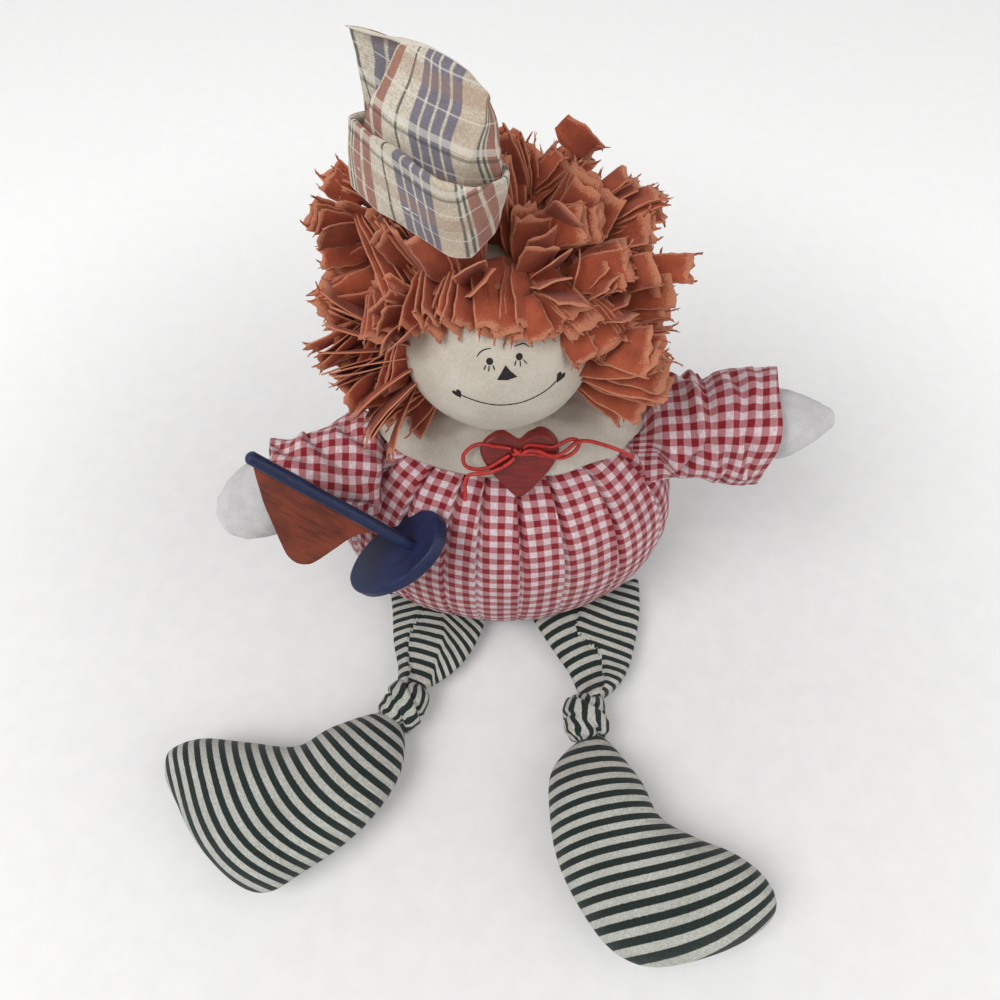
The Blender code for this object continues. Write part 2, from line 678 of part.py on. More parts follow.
def outline_reach(angle):
    """Distance share of the boot outline from its centre in a direction."""
    middle = Vector(BOOT_CENTRE_SHARES)
    polar = []
    for place in BOOT_OUTLINE_SHARES:
        spoke = Vector(place) - middle
        polar.append((math.atan2(spoke.y, spoke.x), spoke.length))
    polar.sort()
    wrapped = [(polar[-1][0] - 2 * math.pi, polar[-1][1])] + polar + [(polar[0][0] + 2 * math.pi, polar[0][1])]
    for (low, near), (high, far) in zip(wrapped, wrapped[1:]):
        if low <= angle <= high:
            return near + (far - near) * (angle - low) / (high - low)
    return polar[0][1]


def smooth_share(share):
    """Ease a share from 0 to 1."""
    share = max(0.0, min(1.0, share))
    return share * share * (3.0 - 2.0 * share)


def boot_mesh(name, knee, mirror):
    """Stuffed boot lying on its side, about the knot: X runs to the heel, Y to the toe."""
    bm = bmesh.new()
    bmesh.ops.create_uvsphere(bm, u_segments=BOOT_SEGMENTS, v_segments=BOOT_BANDS, radius=1.0)
    full_from, full_over = BOOT_FULL_SHARES
    for vert in bm.verts:
        polar = math.acos(max(-1.0, min(1.0, vert.co.z)))
        angle = math.atan2(vert.co.y, vert.co.x)
        flat = math.hypot(vert.co.x, vert.co.y)
        reach = outline_reach(angle) * flat ** BOOT_ROUND_POWER if flat > WELD else 0.0
        along = BOOT_CENTRE_SHARES[0] + reach * math.cos(angle)
        side = BOOT_CENTRE_SHARES[1] + reach * math.sin(angle)
        full = smooth_share((along - full_from) / full_over)
        half = BOOT_HALF_THICKNESS * (BOOT_NECK_SHARE + (1.0 - BOOT_NECK_SHARE) * full)
        middle = (BOOT_HALF_THICKNESS - FLAT_CUT - knee.z) * full
        vert.co = (BOOT_LENGTH * along, BOOT_LENGTH * side * mirror, middle + half * math.cos(polar))
    return mesh_from(bm, name)


def make_boot(side, knee, turn, mirror, floor, knot_room):
    """Ticking lower leg with its foot."""
    name = "lower_leg_" + side
    boot = add_object(name, boot_mesh(name, knee, mirror), ((0.4, 0.42, 0.38), 0.9), knee)
    boot.rotation_euler = (0.0, 0.0, turn - math.pi / 2)
    soften(boot)
    cut(boot, knot_room)
    cut(boot, floor)
    return boot


def make_leg(side, torso, seat, floor):
    """One leg: thigh, knot and boot."""
    left = side == "left"
    knee = seat_knot(KNEE_LEFT if left else KNEE_RIGHT)
    room = make_knot(side, knee, floor)
    make_thigh(side, HIP_LEFT if left else HIP_RIGHT, HIP_TURN_LEFT if left else HIP_TURN_RIGHT, knee,
               HIP_HALF_WIDTH_LEFT if left else HIP_HALF_WIDTH_RIGHT, torso, seat, room)
    make_boot(side, knee, BOOT_TURN_LEFT if left else BOOT_TURN_RIGHT, 1.0 if left else -1.0, floor, room)


def plate_mesh(name, outline, thickness):
    """Flat plate: a filled 2D curve, made a mesh so that its edges can be rounded."""
    curve = bpy.data.curves.new(name, "CURVE")
    curve.dimensions = "2D"
    curve.fill_mode = "BOTH"
    curve.extrude = thickness / 2
    spline = curve.splines.new("POLY")
    spline.points.add(len(outline) - 1)
    for point, place in zip(spline.points, outline):
        point.co = (place[0], place[1], 0.0, 1.0)
    spline.use_cyclic_u = True
    guide = bpy.data.objects.new(name + "_curve", curve)
    bpy.context.scene.collection.objects.link(guide)
    bpy.context.view_layer.update()
    shape = guide.evaluated_get(bpy.context.evaluated_depsgraph_get())
    mesh = bpy.data.meshes.new_from_object(shape)
    bpy.data.objects.remove(guide, do_unlink=True)
    bm = bmesh.new()
    bm.from_mesh(mesh)
    bmesh.ops.remove_doubles(bm, verts=bm.verts, dist=WELD / 10)
    return mesh_from(bm, name)


def smooth_outline(points, steps):
    """Closed Catmull-Rom curve through outline points."""
    count = len(points)
    smooth = []
    for index in range(count):
        before, start, end, after = (Vector(points[(index + shift) % count]) for shift in (-1, 0, 1, 2))
        for step in range(steps):
            share = step / steps
            smooth.append(((start * 2) + (end - before) * share
                           + (before * 2 - start * 5 + end * 4 - after) * share ** 2
                           + (start * 3 - before - end * 3 + after) * share ** 3) / 2)
    return smooth


def grown_outline(points, distance):
    """Closed anticlockwise outline moved outward by a distance."""
    count = len(points)
    grown = []
    for index, place in enumerate(points):
        run = Vector(points[(index + 1) % count]) - Vector(points[index - 1])
        run.normalize()
        grown.append(Vector(place) + Vector((run.y, -run.x)) * distance)
    return grown


def frame_from(up, side):
    """Axes with Z along up and Y near side."""
    up = Vector(up).normalized()
    across = Vector(side).cross(up).normalized()
    return Matrix((across, up.cross(across), up)).transposed()


def set_frame(part, frame):
    """Turn a part to a frame."""
    part.rotation_mode = "QUATERNION"
    part.rotation_quaternion = frame.to_quaternion()


def round_edges(part, width):
    """Ease the sharp edges of a plate."""
    step = part.modifiers.new("ease", "BEVEL")
    step.width = width
    step.segments = 1
    step.limit_method = "ANGLE"
    step.angle_limit = math.radians(50)


def mirrored(shares, length, width):
    """Closed outline from one side's shares: the other side is its mirror image."""
    other = [(along, -aside) for along, aside in reversed(shares[1:-1])]
    return [(along * length, aside * width) for along, aside in list(shares) + other]


def cylinder_mesh(name, radius, length, sides):
    """Cylinder that stands on its own origin."""
    bm = bmesh.new()
    bmesh.ops.create_cone(bm, cap_ends=True, segments=sides, radius1=radius, radius2=radius, depth=length)
    bmesh.ops.translate(bm, vec=(0.0, 0.0, length / 2), verts=bm.verts)
    return mesh_from(bm, name)


def boat_frame():
    """Axes of the boat: X to the bow, Z along the mast."""
    up = MAST_DIRECTION.normalized()
    across = up.cross(BOAT_LENGTHWAYS).normalized()
    return Matrix((across.cross(up), across, up)).transposed()


def make_hull(frame, colour, torso):
    """Hull, and the room that it turns in beside the body."""
    outline = smooth_outline(mirrored(HULL_OUTLINE_SHARES, HULL_LENGTH, HULL_WIDTH), OUTLINE_STEPS)
    centre = from_top(BOAT_FOOT) + frame @ Vector((HULL_AHEAD, HULL_ASIDE, -HULL_THICKNESS / 2))
    hull = add_object("boat_hull", plate_mesh("boat_hull", outline, HULL_THICKNESS), colour, centre)
    set_frame(hull, frame)
    grown = grown_outline(outline, HULL_PLAY)
    shoulder = from_top(SHOULDER_RIGHT)
    for index, turn in enumerate(shoulder_turns("right", HULL_SWEEP_STEPS)):
        name = "hull_room_" + str(index)
        place = shoulder + turn @ (centre - shoulder)
        room = add_cutter(name, plate_mesh(name, grown, HULL_THICKNESS + HULL_PLAY * 2), place)
        set_frame(room, turn @ frame)
        cut(torso, room)
    return hull


def make_mast(frame, colour, hull):
    """Round mast in its hole through the deck."""
    length = MAST_LENGTH + MAST_SINK
    mast = add_object("boat_mast", cylinder_mesh("boat_mast", MAST_RADIUS, length, MAST_SIDES), colour,
                      from_top(BOAT_FOOT) + frame @ Vector((0.0, 0.0, -MAST_SINK)))
    set_frame(mast, frame)
    round_edges(mast, MAST_ROUND)
    shape = cylinder_mesh("mast_hole", MAST_RADIUS + GAP, length, MAST_SIDES)
    hole = add_cutter("mast_hole", shape, from_top(BOAT_FOOT) + frame @ Vector((0.0, 0.0, -MAST_SINK - GAP)))
    set_frame(hole, frame)
    cut(hull, hole)


def make_boat(torso):
    """Toy boat: hull, mast in its hole and sail against the mast."""
    frame = boat_frame()
    blue = ((0.02, 0.03, 0.1), 0.55)
    make_mast(frame, blue, make_hull(frame, blue, torso))
    near = MAST_RADIUS + GAP
    outline = [(near + across * SAIL_WIDTH, SAIL_LIFT + up * SAIL_HEIGHT) for across, up in SAIL_OUTLINE_SHARES]
    sail = add_object("boat_sail", plate_mesh("boat_sail", outline, SAIL_THICKNESS), ((0.2, 0.04, 0.02), 0.6),
                      from_top(BOAT_FOOT))
    ahead = frame @ Vector((1.0, 0.0, 0.0))
    up = frame @ Vector((0.0, 0.0, 1.0))
    set_frame(sail, Matrix((ahead, up, ahead.cross(up))).transposed())


def heart_outline():
    """Heart outline: one side in shares of its size, the other mirrored."""
    right = list(HEART_OUTLINE_SHARES)
    left = [(-x, y) for x, y in reversed(right[1:-1])]
    sized = [(x * HEART_WIDTH, y * HEART_HEIGHT) for x, y in right + left]
    return smooth_outline(sized, OUTLINE_STEPS)


def make_heart(collar):
    """Wooden heart pressed on the collar's front."""
    frame = frame_from(HEART_NORMAL, Vector((0.0, 0.0, 1.0)))
    outline = heart_outline()
    heart = add_object("heart_button", plate_mesh("heart_button", outline, HEART_THICKNESS),
                       ((0.18, 0.02, 0.015), 0.35), from_top(HEART_CENTRE))
    set_frame(heart, frame)
    round_edges(heart, HEART_ROUND)
    grown = grown_outline(outline, GAP)
    bed_mesh = plate_mesh("heart_bed", grown, HEART_THICKNESS + GAP * 2)
    bed = add_cutter("heart_bed", bed_mesh, from_top(HEART_CENTRE))
    set_frame(bed, frame)
    cut(collar, bed)
    return frame


def bow_place(frame, x, y, lift):
    """Point over the heart's face, from millimetres in the heart's axes."""
    return from_top(HEART_CENTRE) + frame @ Vector((x * MILLIMETRE, y * MILLIMETRE, lift))


def make_string(name, places):
    """Round cord along a route."""
    curve = bpy.data.curves.new(name, "CURVE")
    curve.dimensions = "3D"
    curve.bevel_depth = STRING_DIAMETER / 2
    curve.bevel_resolution = 2
    curve.use_fill_caps = True
    spline = curve.splines.new("POLY")
    spline.points.add(len(places) - 1)
    for point, place in zip(spline.points, places):
        point.co = (*place, 1.0)
    string = bpy.data.objects.new(name, curve)
    bpy.data.collections[PARTS].objects.link(string)
    curve.materials.append(make_material(name, (0.5, 0.01, 0.01), 0.45))


def make_bow(frame):
    """String bow on the heart: a knot, two loops and two free ends."""
    face = HEART_THICKNESS / 2 + GAP
    size = (BOW_KNOT_RADIUS, BOW_KNOT_RADIUS, BOW_KNOT_RADIUS)
    centre = bow_place(frame, *BOW_KNOT, face + BOW_KNOT_RADIUS)
    add_object("bow_knot", ball_mesh("bow_knot", size, BOW_KNOT_SEGMENTS, BOW_KNOT_BANDS),
               ((0.5, 0.01, 0.01), 0.45), centre)
    lift = face + STRING_DIAMETER / 2
    for name, route in BOW_ROUTES.items():
        make_string(name, [bow_place(frame, x, y, lift + rise * MILLIMETRE) for x, y, rise in route])


def lens(length, width, sides):
    """Boat-shaped outline, pointed at both ends."""
    points = []
    for index in range(sides):
        angle = 2 * math.pi * index / sides
        along = math.cos(angle)
        points.append((length / 2 * along, width / 2 * math.sin(angle) * (1.0 - LENS_POINT_SHARE * along * along)))
    return points


def ring_mesh(name, loops, closed):
    """Skin a stack of loops, capped or joined end to end."""
    bm = bmesh.new()
    rows = [[bm.verts.new(place) for place in loop] for loop in loops]
    count = len(rows[0])
    pairs = list(zip(rows, rows[1:]))
    if closed:
        pairs.append((rows[-1], rows[0]))
    for lower, upper in pairs:
        for index in range(count):
            follow = (index + 1) % count
            bm.faces.new((lower[index], lower[follow], upper[follow], upper[index]))
    if not closed:
        bm.faces.new(rows[0])
        bm.faces.new(rows[-1])
    return mesh_from(bm, name)


def lens_loop(length, width, height, lean=0.0):
    """Lens outline at a height, moved along its length by lean."""
    return [(x + lean, y, height) for x, y in lens(length, width, HAT_SEGMENTS)]


def hat_frame():
    """Axes of the hat: X along its length."""
    return (Matrix.Rotation(HAT_YAW, 3, "Z") @ Matrix.Rotation(HAT_TILT, 3, "Y"))


def make_hat():
    """Folded hat: a wedge crown inside an upturned brim."""
    place = head_centre() + HAT_PLACE
    frame = hat_frame()
    wall = HAT_BRIM_WALL
    outer = (HAT_LENGTH, HAT_WIDTH)
    inner = (HAT_LENGTH - 2 * wall, HAT_WIDTH - 2 * wall)
    brim_loops = [lens_loop(*outer, 0.0), lens_loop(*outer, HAT_BRIM_HEIGHT),
                  lens_loop(*inner, HAT_BRIM_HEIGHT), lens_loop(*inner, 0.0)]
    plaid = ((0.6, 0.5, 0.42), 0.9)
    brim = add_object("hat_brim", ring_mesh("hat_brim", brim_loops, True), plaid, place)
    set_frame(brim, frame)
    fit = (inner[0] - 2 * GAP, inner[1] - 2 * GAP)
    crown_loops = [lens_loop(*fit, 0.0), lens_loop(*fit, HAT_BRIM_HEIGHT),
                   lens_loop(HAT_RIDGE_LENGTH, fit[1] * HAT_WAIST_WIDTH_SHARE,
                             HAT_CROWN_HEIGHT * HAT_WAIST_SHARE, HAT_CROWN_LEAN / 2),
                   lens_loop(HAT_RIDGE_LENGTH, HAT_RIDGE_WIDTH, HAT_CROWN_HEIGHT, HAT_CROWN_LEAN)]
    crown = add_object("hat_crown", ring_mesh("hat_crown", crown_loops, False), plaid, place)
    set_frame(crown, frame)
    around = (outer[0] + 2 * HAT_ROOM_GAP, outer[1] + 2 * HAT_ROOM_GAP)
    room = add_cutter("hat_room", ring_mesh("hat_room", [
        lens_loop(*around, -GAP),
        lens_loop(*around, HAT_CROWN_HEIGHT * HAT_ROOM_SHARE)], False), place)
    set_frame(room, frame)
    return room


def strip_mesh(bm, direction, across, start, length):
    """Add one tapered strip of cloth that leaves the root."""
    out = direction.normalized()
    across = (across - out * across.dot(out)).normalized()
    frame = Matrix((across, out.cross(across), out)).transposed().to_4x4()
    made = bmesh.ops.create_cube(bm, size=1.0)
    for vert in made["verts"]:
        far = vert.co.z > 0.0
        width = STRIP_WIDTH if far else STRIP_BASE_WIDTH
        place = Vector((vert.co.x * width, vert.co.y * STRIP_THICKNESS, start + (length if far else 0.0)))
        vert.co = frame.to_3x3() @ place


def make_bunch(name, direction, head_room, hat_room):
    """One bunch of strips on its root, seated on the head."""
    centre = head_centre()
    turn = direction.to_track_quat("Z", "Y").to_matrix()
    base = HEAD_HALF_DEPTH * BUNCH_BASE_SHARE
    bm = bmesh.new()
    root = bmesh.ops.create_uvsphere(bm, u_segments=BUNCH_SEGMENTS, v_segments=BUNCH_BANDS,
                                     radius=1.0)
    bmesh.ops.scale(bm, vec=(BUNCH_ROOT_RADIUS, BUNCH_ROOT_RADIUS, BUNCH_ROOT_HEIGHT), verts=root["verts"])
    for vert in root["verts"]:
        vert.co = turn @ (vert.co + Vector((0.0, 0.0, base + BUNCH_ROOT_HEIGHT * BUNCH_LIFT_SHARE)))
    bunch = add_object(name, mesh_from(bm, name), ((0.4, 0.12, 0.05), 0.95), centre)
    strips = bmesh.new()
    for index in range(STRIPS_IN_BUNCH):
        angle = 2 * math.pi * index / (STRIPS_IN_BUNCH - 1)
        spread = BUNCH_SPREAD if index < STRIPS_IN_BUNCH - 1 else 0.0
        lean = Vector((math.sin(spread) * math.cos(angle), math.sin(spread) * math.sin(angle), math.cos(spread)))
        twist = angle / 2 + STRIP_TWIST
        flat = Vector((math.cos(twist), math.sin(twist), 0.0))
        strip_mesh(strips, turn @ lean, turn @ flat, base, STRIP_LENGTH)
    fan = add_cutter(name + "_strips", mesh_from(strips, name + "_strips"), centre)
    step = bunch.modifiers.new("join_strips", "BOOLEAN")
    step.operation = "UNION"
    step.solver = "EXACT"
    step.use_self = True
    step.object = fan
    cut(bunch, head_room)
    cut(bunch, hat_room)
    return bunch


def hair_directions():
    """Directions of the bunches from the head's centre, in rows round the face."""
    face = Vector((0.0, -math.cos(FACE_TILT), math.sin(FACE_TILT)))
    up = Vector((0.0, math.sin(FACE_TILT), math.cos(FACE_TILT)))
    right = Vector((1.0, 0.0, 0.0))
    places = []
    for polar, spacing, count in HAIR_ROWS:
        for index in range(count):
            turn = (index - (count - 1) / 2) * spacing
            side = right * math.sin(turn) + up * math.cos(turn)
            direction = face * math.cos(polar) + side * math.sin(polar)
            if direction.z > HAIR_NECK_LIMIT:
                places.append(direction)
    places.append(-face)
    return places


def make_hair(hat_room):
    """All the bunches of hair."""
    head_room = add_cutter("head_room", head_mesh("head_room", GAP), nod_centre())
    soften(head_room)
    for index, direction in enumerate(hair_directions()):
        make_bunch("hair_bunch_" + str(index + 1).zfill(2), direction, head_room, hat_room)


def build():
    """Make every part of the doll."""
    clear_scene()
    make_collection(PARTS)
    make_collection(CUTTERS)
    floor = floor_cutter()
    torso, seat = make_body(floor)
    make_neck(torso)
    swollen = add_cutter("body_room", body_mesh("body_room", GAP))
    soften(swollen)
    collar = make_collar(swollen, COLLAR_HOLE_RADIUS)
    make_head()
    for side, shoulder, cuff, tip in (
            ("left", from_top(SHOULDER_LEFT), from_top(CUFF_LEFT), from_top(HAND_TIP_LEFT)),
            ("right", from_top(SHOULDER_RIGHT), from_top(CUFF_RIGHT), from_top(HAND_TIP_RIGHT))):
        make_sleeve(side, shoulder, cuff)
        make_arm(side, shoulder, cuff, tip)
        for cutter in sleeve_sweep(side, shoulder, cuff):
            cut(torso, cutter)
            cut(collar, cutter)
        if side == "right":
            make_boat(torso)
        make_leg(side, torso, seat, floor)
    make_bow(make_heart(collar))
    make_hair(make_hat())


build()
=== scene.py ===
"""Rag doll: stuffed cloth body, knotted ticking legs, torn strip hair, folded hat and toy boat.

Lengths are metres. Z is up, the doll faces -Y and its own left is at +X.
"""
import math

import bpy
import bmesh
import numpy as np
from mathutils import Matrix, Vector, noise
from mathutils.bvhtree import BVHTree


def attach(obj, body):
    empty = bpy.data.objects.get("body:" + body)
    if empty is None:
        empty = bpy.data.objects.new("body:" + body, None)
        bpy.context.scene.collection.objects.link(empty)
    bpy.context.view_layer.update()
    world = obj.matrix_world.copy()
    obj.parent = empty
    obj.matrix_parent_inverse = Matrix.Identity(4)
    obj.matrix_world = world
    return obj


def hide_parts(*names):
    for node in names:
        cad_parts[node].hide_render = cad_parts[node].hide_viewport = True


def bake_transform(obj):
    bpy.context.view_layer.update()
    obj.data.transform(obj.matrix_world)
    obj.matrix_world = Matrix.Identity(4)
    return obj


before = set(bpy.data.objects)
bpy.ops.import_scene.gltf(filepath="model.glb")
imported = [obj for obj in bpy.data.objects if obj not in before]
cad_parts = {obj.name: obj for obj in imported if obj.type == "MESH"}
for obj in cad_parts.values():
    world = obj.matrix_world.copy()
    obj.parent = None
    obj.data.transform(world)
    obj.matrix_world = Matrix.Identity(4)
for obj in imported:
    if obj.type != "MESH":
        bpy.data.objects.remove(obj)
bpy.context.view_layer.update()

MM = 0.001
HEAD_CENTRE = np.array([-0.002, -0.002, 0.1695])
HEAD_RADIUS = 0.0345
EYE = np.array([-0.0015, -0.193, 0.350])
EYE_PITCH = math.radians(56.2)
FOCAL_PIXELS = 722.0
PHOTO_MIDDLE = 500
CHECK_PITCH = 0.00635
STRIPE_PITCH = 0.0056


# Camera

def make_camera():
    """Camera above and in front of the doll, looking down at it."""
    data = bpy.data.cameras.new("camera")
    data.sensor_width = 36.0
    data.lens = 25.99
    data.clip_start = 0.01
    camera = bpy.data.objects.new("camera", data)
    camera.location = EYE
    camera.rotation_euler = (math.radians(33.8), 0.0, 0.0)
    bpy.context.scene.collection.objects.link(camera)
    bpy.context.scene.camera = camera


def photo_ray(across, down):
    """Direction from the eye through a pixel of the photograph's frame of 1000 by 1000."""
    side = (across - PHOTO_MIDDLE) / FOCAL_PIXELS
    drop = (down - PHOTO_MIDDLE) / FOCAL_PIXELS
    return np.array((side, math.cos(EYE_PITCH) - drop * math.sin(EYE_PITCH),
                     -math.sin(EYE_PITCH) - drop * math.cos(EYE_PITCH)))


def on_level(across, down, height):
    """X and Y in millimetres, to a tenth, where a pixel's ray meets a height in millimetres."""
    eye = EYE / MM
    ray = photo_ray(across, down)
    reach = (height - eye[2]) / ray[2]
    return tuple(round(float(eye[axis] + reach * ray[axis]), 1) for axis in (0, 1))


make_camera()


# Shader helpers

class Shader:
    """A Principled material and short calls for the nodes that feed it."""

    def __init__(self, name, roughness=0.9, sheen=0.0, coat=0.0, specular=0.3):
        self.material = bpy.data.materials.new(name)
        self.material.use_nodes = True
        self.tree = self.material.node_tree
        self.out = self.tree.nodes["Principled BSDF"]
        self.out.inputs["Roughness"].default_value = roughness
        self.out.inputs["Sheen Weight"].default_value = sheen
        self.out.inputs["Sheen Roughness"].default_value = 0.6
        self.out.inputs["Coat Weight"].default_value = coat
        self.out.inputs["Specular IOR Level"].default_value = specular

    def put(self, socket, value):
        """Link a node output, or write a plain value, to a socket."""
        if isinstance(value, bpy.types.NodeSocket):
            self.tree.links.new(value, socket)
        elif isinstance(value, (tuple, list)) and len(value) == 3 and socket.type == "RGBA":
            socket.default_value = (*value, 1.0)
        else:
            socket.default_value = value

    def math(self, operation, first, second=0.0, third=None, clamp=False):
        """One math node."""
        node = self.tree.nodes.new("ShaderNodeMath")
        node.operation = operation
        node.use_clamp = clamp
        self.put(node.inputs[0], first)
        self.put(node.inputs[1], second)
        if third is not None:
            self.put(node.inputs[2], third)
        return node.outputs[0]

    def mix(self, share, first, second, blend="MIX"):
        """Blend two colours."""
        node = self.tree.nodes.new("ShaderNodeMix")
        node.data_type = "RGBA"
        node.blend_type = blend
        self.put(node.inputs[0], share)
        self.put(node.inputs[6], first)
        self.put(node.inputs[7], second)
        return node.outputs[2]

    def ramp(self, value, low, high, to_low=0.0, to_high=1.0):
        """Smoothly map a range of a value."""
        node = self.tree.nodes.new("ShaderNodeMapRange")
        node.interpolation_type = "SMOOTHSTEP"
        self.put(node.inputs[0], value)
        for index, number in enumerate((low, high, to_low, to_high)):
            node.inputs[index + 1].default_value = number
        return node.outputs[0]

    def uv(self, layer="cloth"):
        """The u and v of a map, in metres of cloth."""
        node = self.tree.nodes.new("ShaderNodeUVMap")
        node.uv_map = layer
        return self.split(node.outputs[0])

    def split(self, vector):
        """X, Y and Z of a vector."""
        node = self.tree.nodes.new("ShaderNodeSeparateXYZ")
        self.tree.links.new(vector, node.inputs[0])
        return node.outputs

    def join(self, x, y, z=0.0):
        """A vector from three numbers."""
        node = self.tree.nodes.new("ShaderNodeCombineXYZ")
        for socket, value in zip(node.inputs, (x, y, z)):
            self.put(socket, value)
        return node.outputs[0]

    def place(self):
        """The point in the piece's own frame."""
        return self.tree.nodes.new("ShaderNodeTexCoord").outputs["Object"]

    def noise(self, vector, scale, detail=3.0, roughness=0.6):
        """Cloudy variation between 0 and 1."""
        node = self.tree.nodes.new("ShaderNodeTexNoise")
        self.tree.links.new(vector, node.inputs["Vector"])
        node.inputs["Scale"].default_value = scale
        node.inputs["Detail"].default_value = detail
        node.inputs["Roughness"].default_value = roughness
        return node.outputs[0]

    def band(self, value, period, dark, soft, shift=0.0):
        """1 inside a band that repeats each period, with soft sides."""
        turn = self.math("FRACT", self.math("ADD", self.math("DIVIDE", value, period), shift))
        middle = self.math("ABSOLUTE", self.math("SUBTRACT", turn, 0.5))
        return self.ramp(middle, dark / 2 + soft, dark / 2 - soft)

    def weave(self, u, v, pitch):
        """Height of a plain weave."""
        across = self.math("SINE", self.math("MULTIPLY", u, math.pi / pitch))
        along = self.math("SINE", self.math("MULTIPLY", v, math.pi / pitch))
        return self.math("MULTIPLY", across, along)

    def bump(self, height, strength, distance, normal=None):
        """Raise the surface by a height."""
        node = self.tree.nodes.new("ShaderNodeBump")
        node.inputs["Strength"].default_value = strength
        node.inputs["Distance"].default_value = distance
        self.tree.links.new(height, node.inputs["Height"])
        if normal is not None:
            self.tree.links.new(normal, node.inputs["Normal"])
        return node.outputs[0]

    def finish(self, colour, normal=None, roughness=None):
        """Feed the shader and return the material."""
        self.put(self.out.inputs["Base Color"], colour)
        if normal is not None:
            self.put(self.out.inputs["Normal"], normal)
        if roughness is not None:
            self.put(self.out.inputs["Roughness"], roughness)
        return self.material


def colour(red, green, blue):
    """An sRGB colour from 0 to 255 as linear light."""
    made = []
    for level in (red, green, blue):
        share = level / 255.0
        made.append(share / 12.92 if share <= 0.04045 else ((share + 0.055) / 1.055) ** 2.4)
    return tuple(made)


def cloth_noise(shader, u, v):
    """Slubs and faint cloudiness of a woven cloth, between 0 and 1."""
    slub_u = shader.noise(shader.join(shader.math("MULTIPLY", u, 0.25), v), 2600.0, 1.0)
    slub_v = shader.noise(shader.join(u, shader.math("MULTIPLY", v, 0.25)), 2600.0, 1.0)
    return shader.math("MULTIPLY", shader.math("ADD", slub_u, slub_v), 0.5)


def gingham_material():
    """Red and white woven check, an eighth of an inch to a square."""
    shader = Shader("gingham", 0.92, sheen=0.12)
    u, v = shader.uv()[:2]
    thread = 0.34 * MM
    warp = shader.band(u, CHECK_PITCH, 0.5, 0.035)
    weft = shader.band(v, CHECK_PITCH, 0.5, 0.035)
    over = shader.math("GREATER_THAN", shader.weave(u, v, thread), 0.0)
    over = shader.math("ADD", shader.math("MULTIPLY", over, 0.5), 0.25)
    slub = cloth_noise(shader, u, v)
    cloud = shader.noise(shader.join(u, v), 70.0, 2.0)
    red = shader.mix(shader.ramp(slub, 0.3, 0.7), colour(116, 10, 22), colour(158, 30, 42))
    white = shader.mix(shader.ramp(slub, 0.3, 0.7), colour(208, 182, 188), colour(246, 232, 234))
    pink = shader.mix(0.12, colour(186, 74, 84), white)
    warped = shader.mix(warp, white, red)
    wefted = shader.mix(weft, white, red)
    woven = shader.mix(over, warped, wefted)
    mixed = shader.math("ABSOLUTE", shader.math("SUBTRACT", warp, weft))
    woven = shader.mix(shader.math("MULTIPLY", mixed, 0.6), woven, pink)
    woven = shader.mix(shader.ramp(cloud, 0.35, 0.75, 0.0, 0.16), woven, colour(120, 60, 62), "MULTIPLY")
    height = shader.math("ADD", shader.weave(u, v, thread), shader.math("MULTIPLY", slub, 2.0))
    return shader.finish(woven, shader.bump(height, 0.35, 0.00012))


def ticking_material():
    """Dark green-black stripes on grey-cream cloth."""
    shader = Shader("ticking", 0.9, sheen=0.08)
    u, v = shader.uv()[:2]
    thread = 0.32 * MM
    slub = cloth_noise(shader, u, v)
    ragged = shader.noise(shader.join(shader.math("MULTIPLY", u, 0.6), v), 900.0, 2.0)
    wander = shader.math("MULTIPLY", shader.math("SUBTRACT", ragged, 0.5), 0.35 * MM)
    stripe = shader.band(shader.math("ADD", v, wander), STRIPE_PITCH, 0.50, 0.03)
    cloud = shader.noise(shader.join(u, v), 60.0, 2.0)
    pale = shader.mix(shader.ramp(slub, 0.3, 0.72), colour(170, 171, 162), colour(216, 217, 209))
    dark = shader.mix(shader.ramp(slub, 0.3, 0.72), colour(14, 24, 23), colour(38, 52, 47))
    woven = shader.mix(stripe, pale, dark)
    woven = shader.mix(shader.ramp(cloud, 0.35, 0.75, 0.0, 0.2), woven, colour(150, 144, 128), "MULTIPLY")
    height = shader.math("ADD", shader.weave(u, v, thread), shader.math("MULTIPLY", slub, 2.0))
    return shader.finish(woven, shader.bump(height, 0.35, 0.00012))


def plain_material(name, dark, light, sheen=0.1, roughness=0.9, cloudy=70.0, pitch=0.3, depth=0.0001):
    """Plain woven cotton whose colour wanders between two."""
    shader = Shader(name, roughness, sheen=sheen)
    u, v = shader.uv()[:2]
    slub = cloth_noise(shader, u, v)
    cloud = shader.noise(shader.place(), cloudy, 3.0)
    tone = shader.math("ADD", shader.math("MULTIPLY", slub, 0.45), shader.math("MULTIPLY", cloud, 0.55))
    woven = shader.mix(shader.ramp(tone, 0.32, 0.68), colour(*dark), colour(*light))
    height = shader.math("ADD", shader.weave(u, v, pitch * MM), shader.math("MULTIPLY", slub, 2.0))
    return shader.finish(woven, shader.bump(height, 0.3, depth))


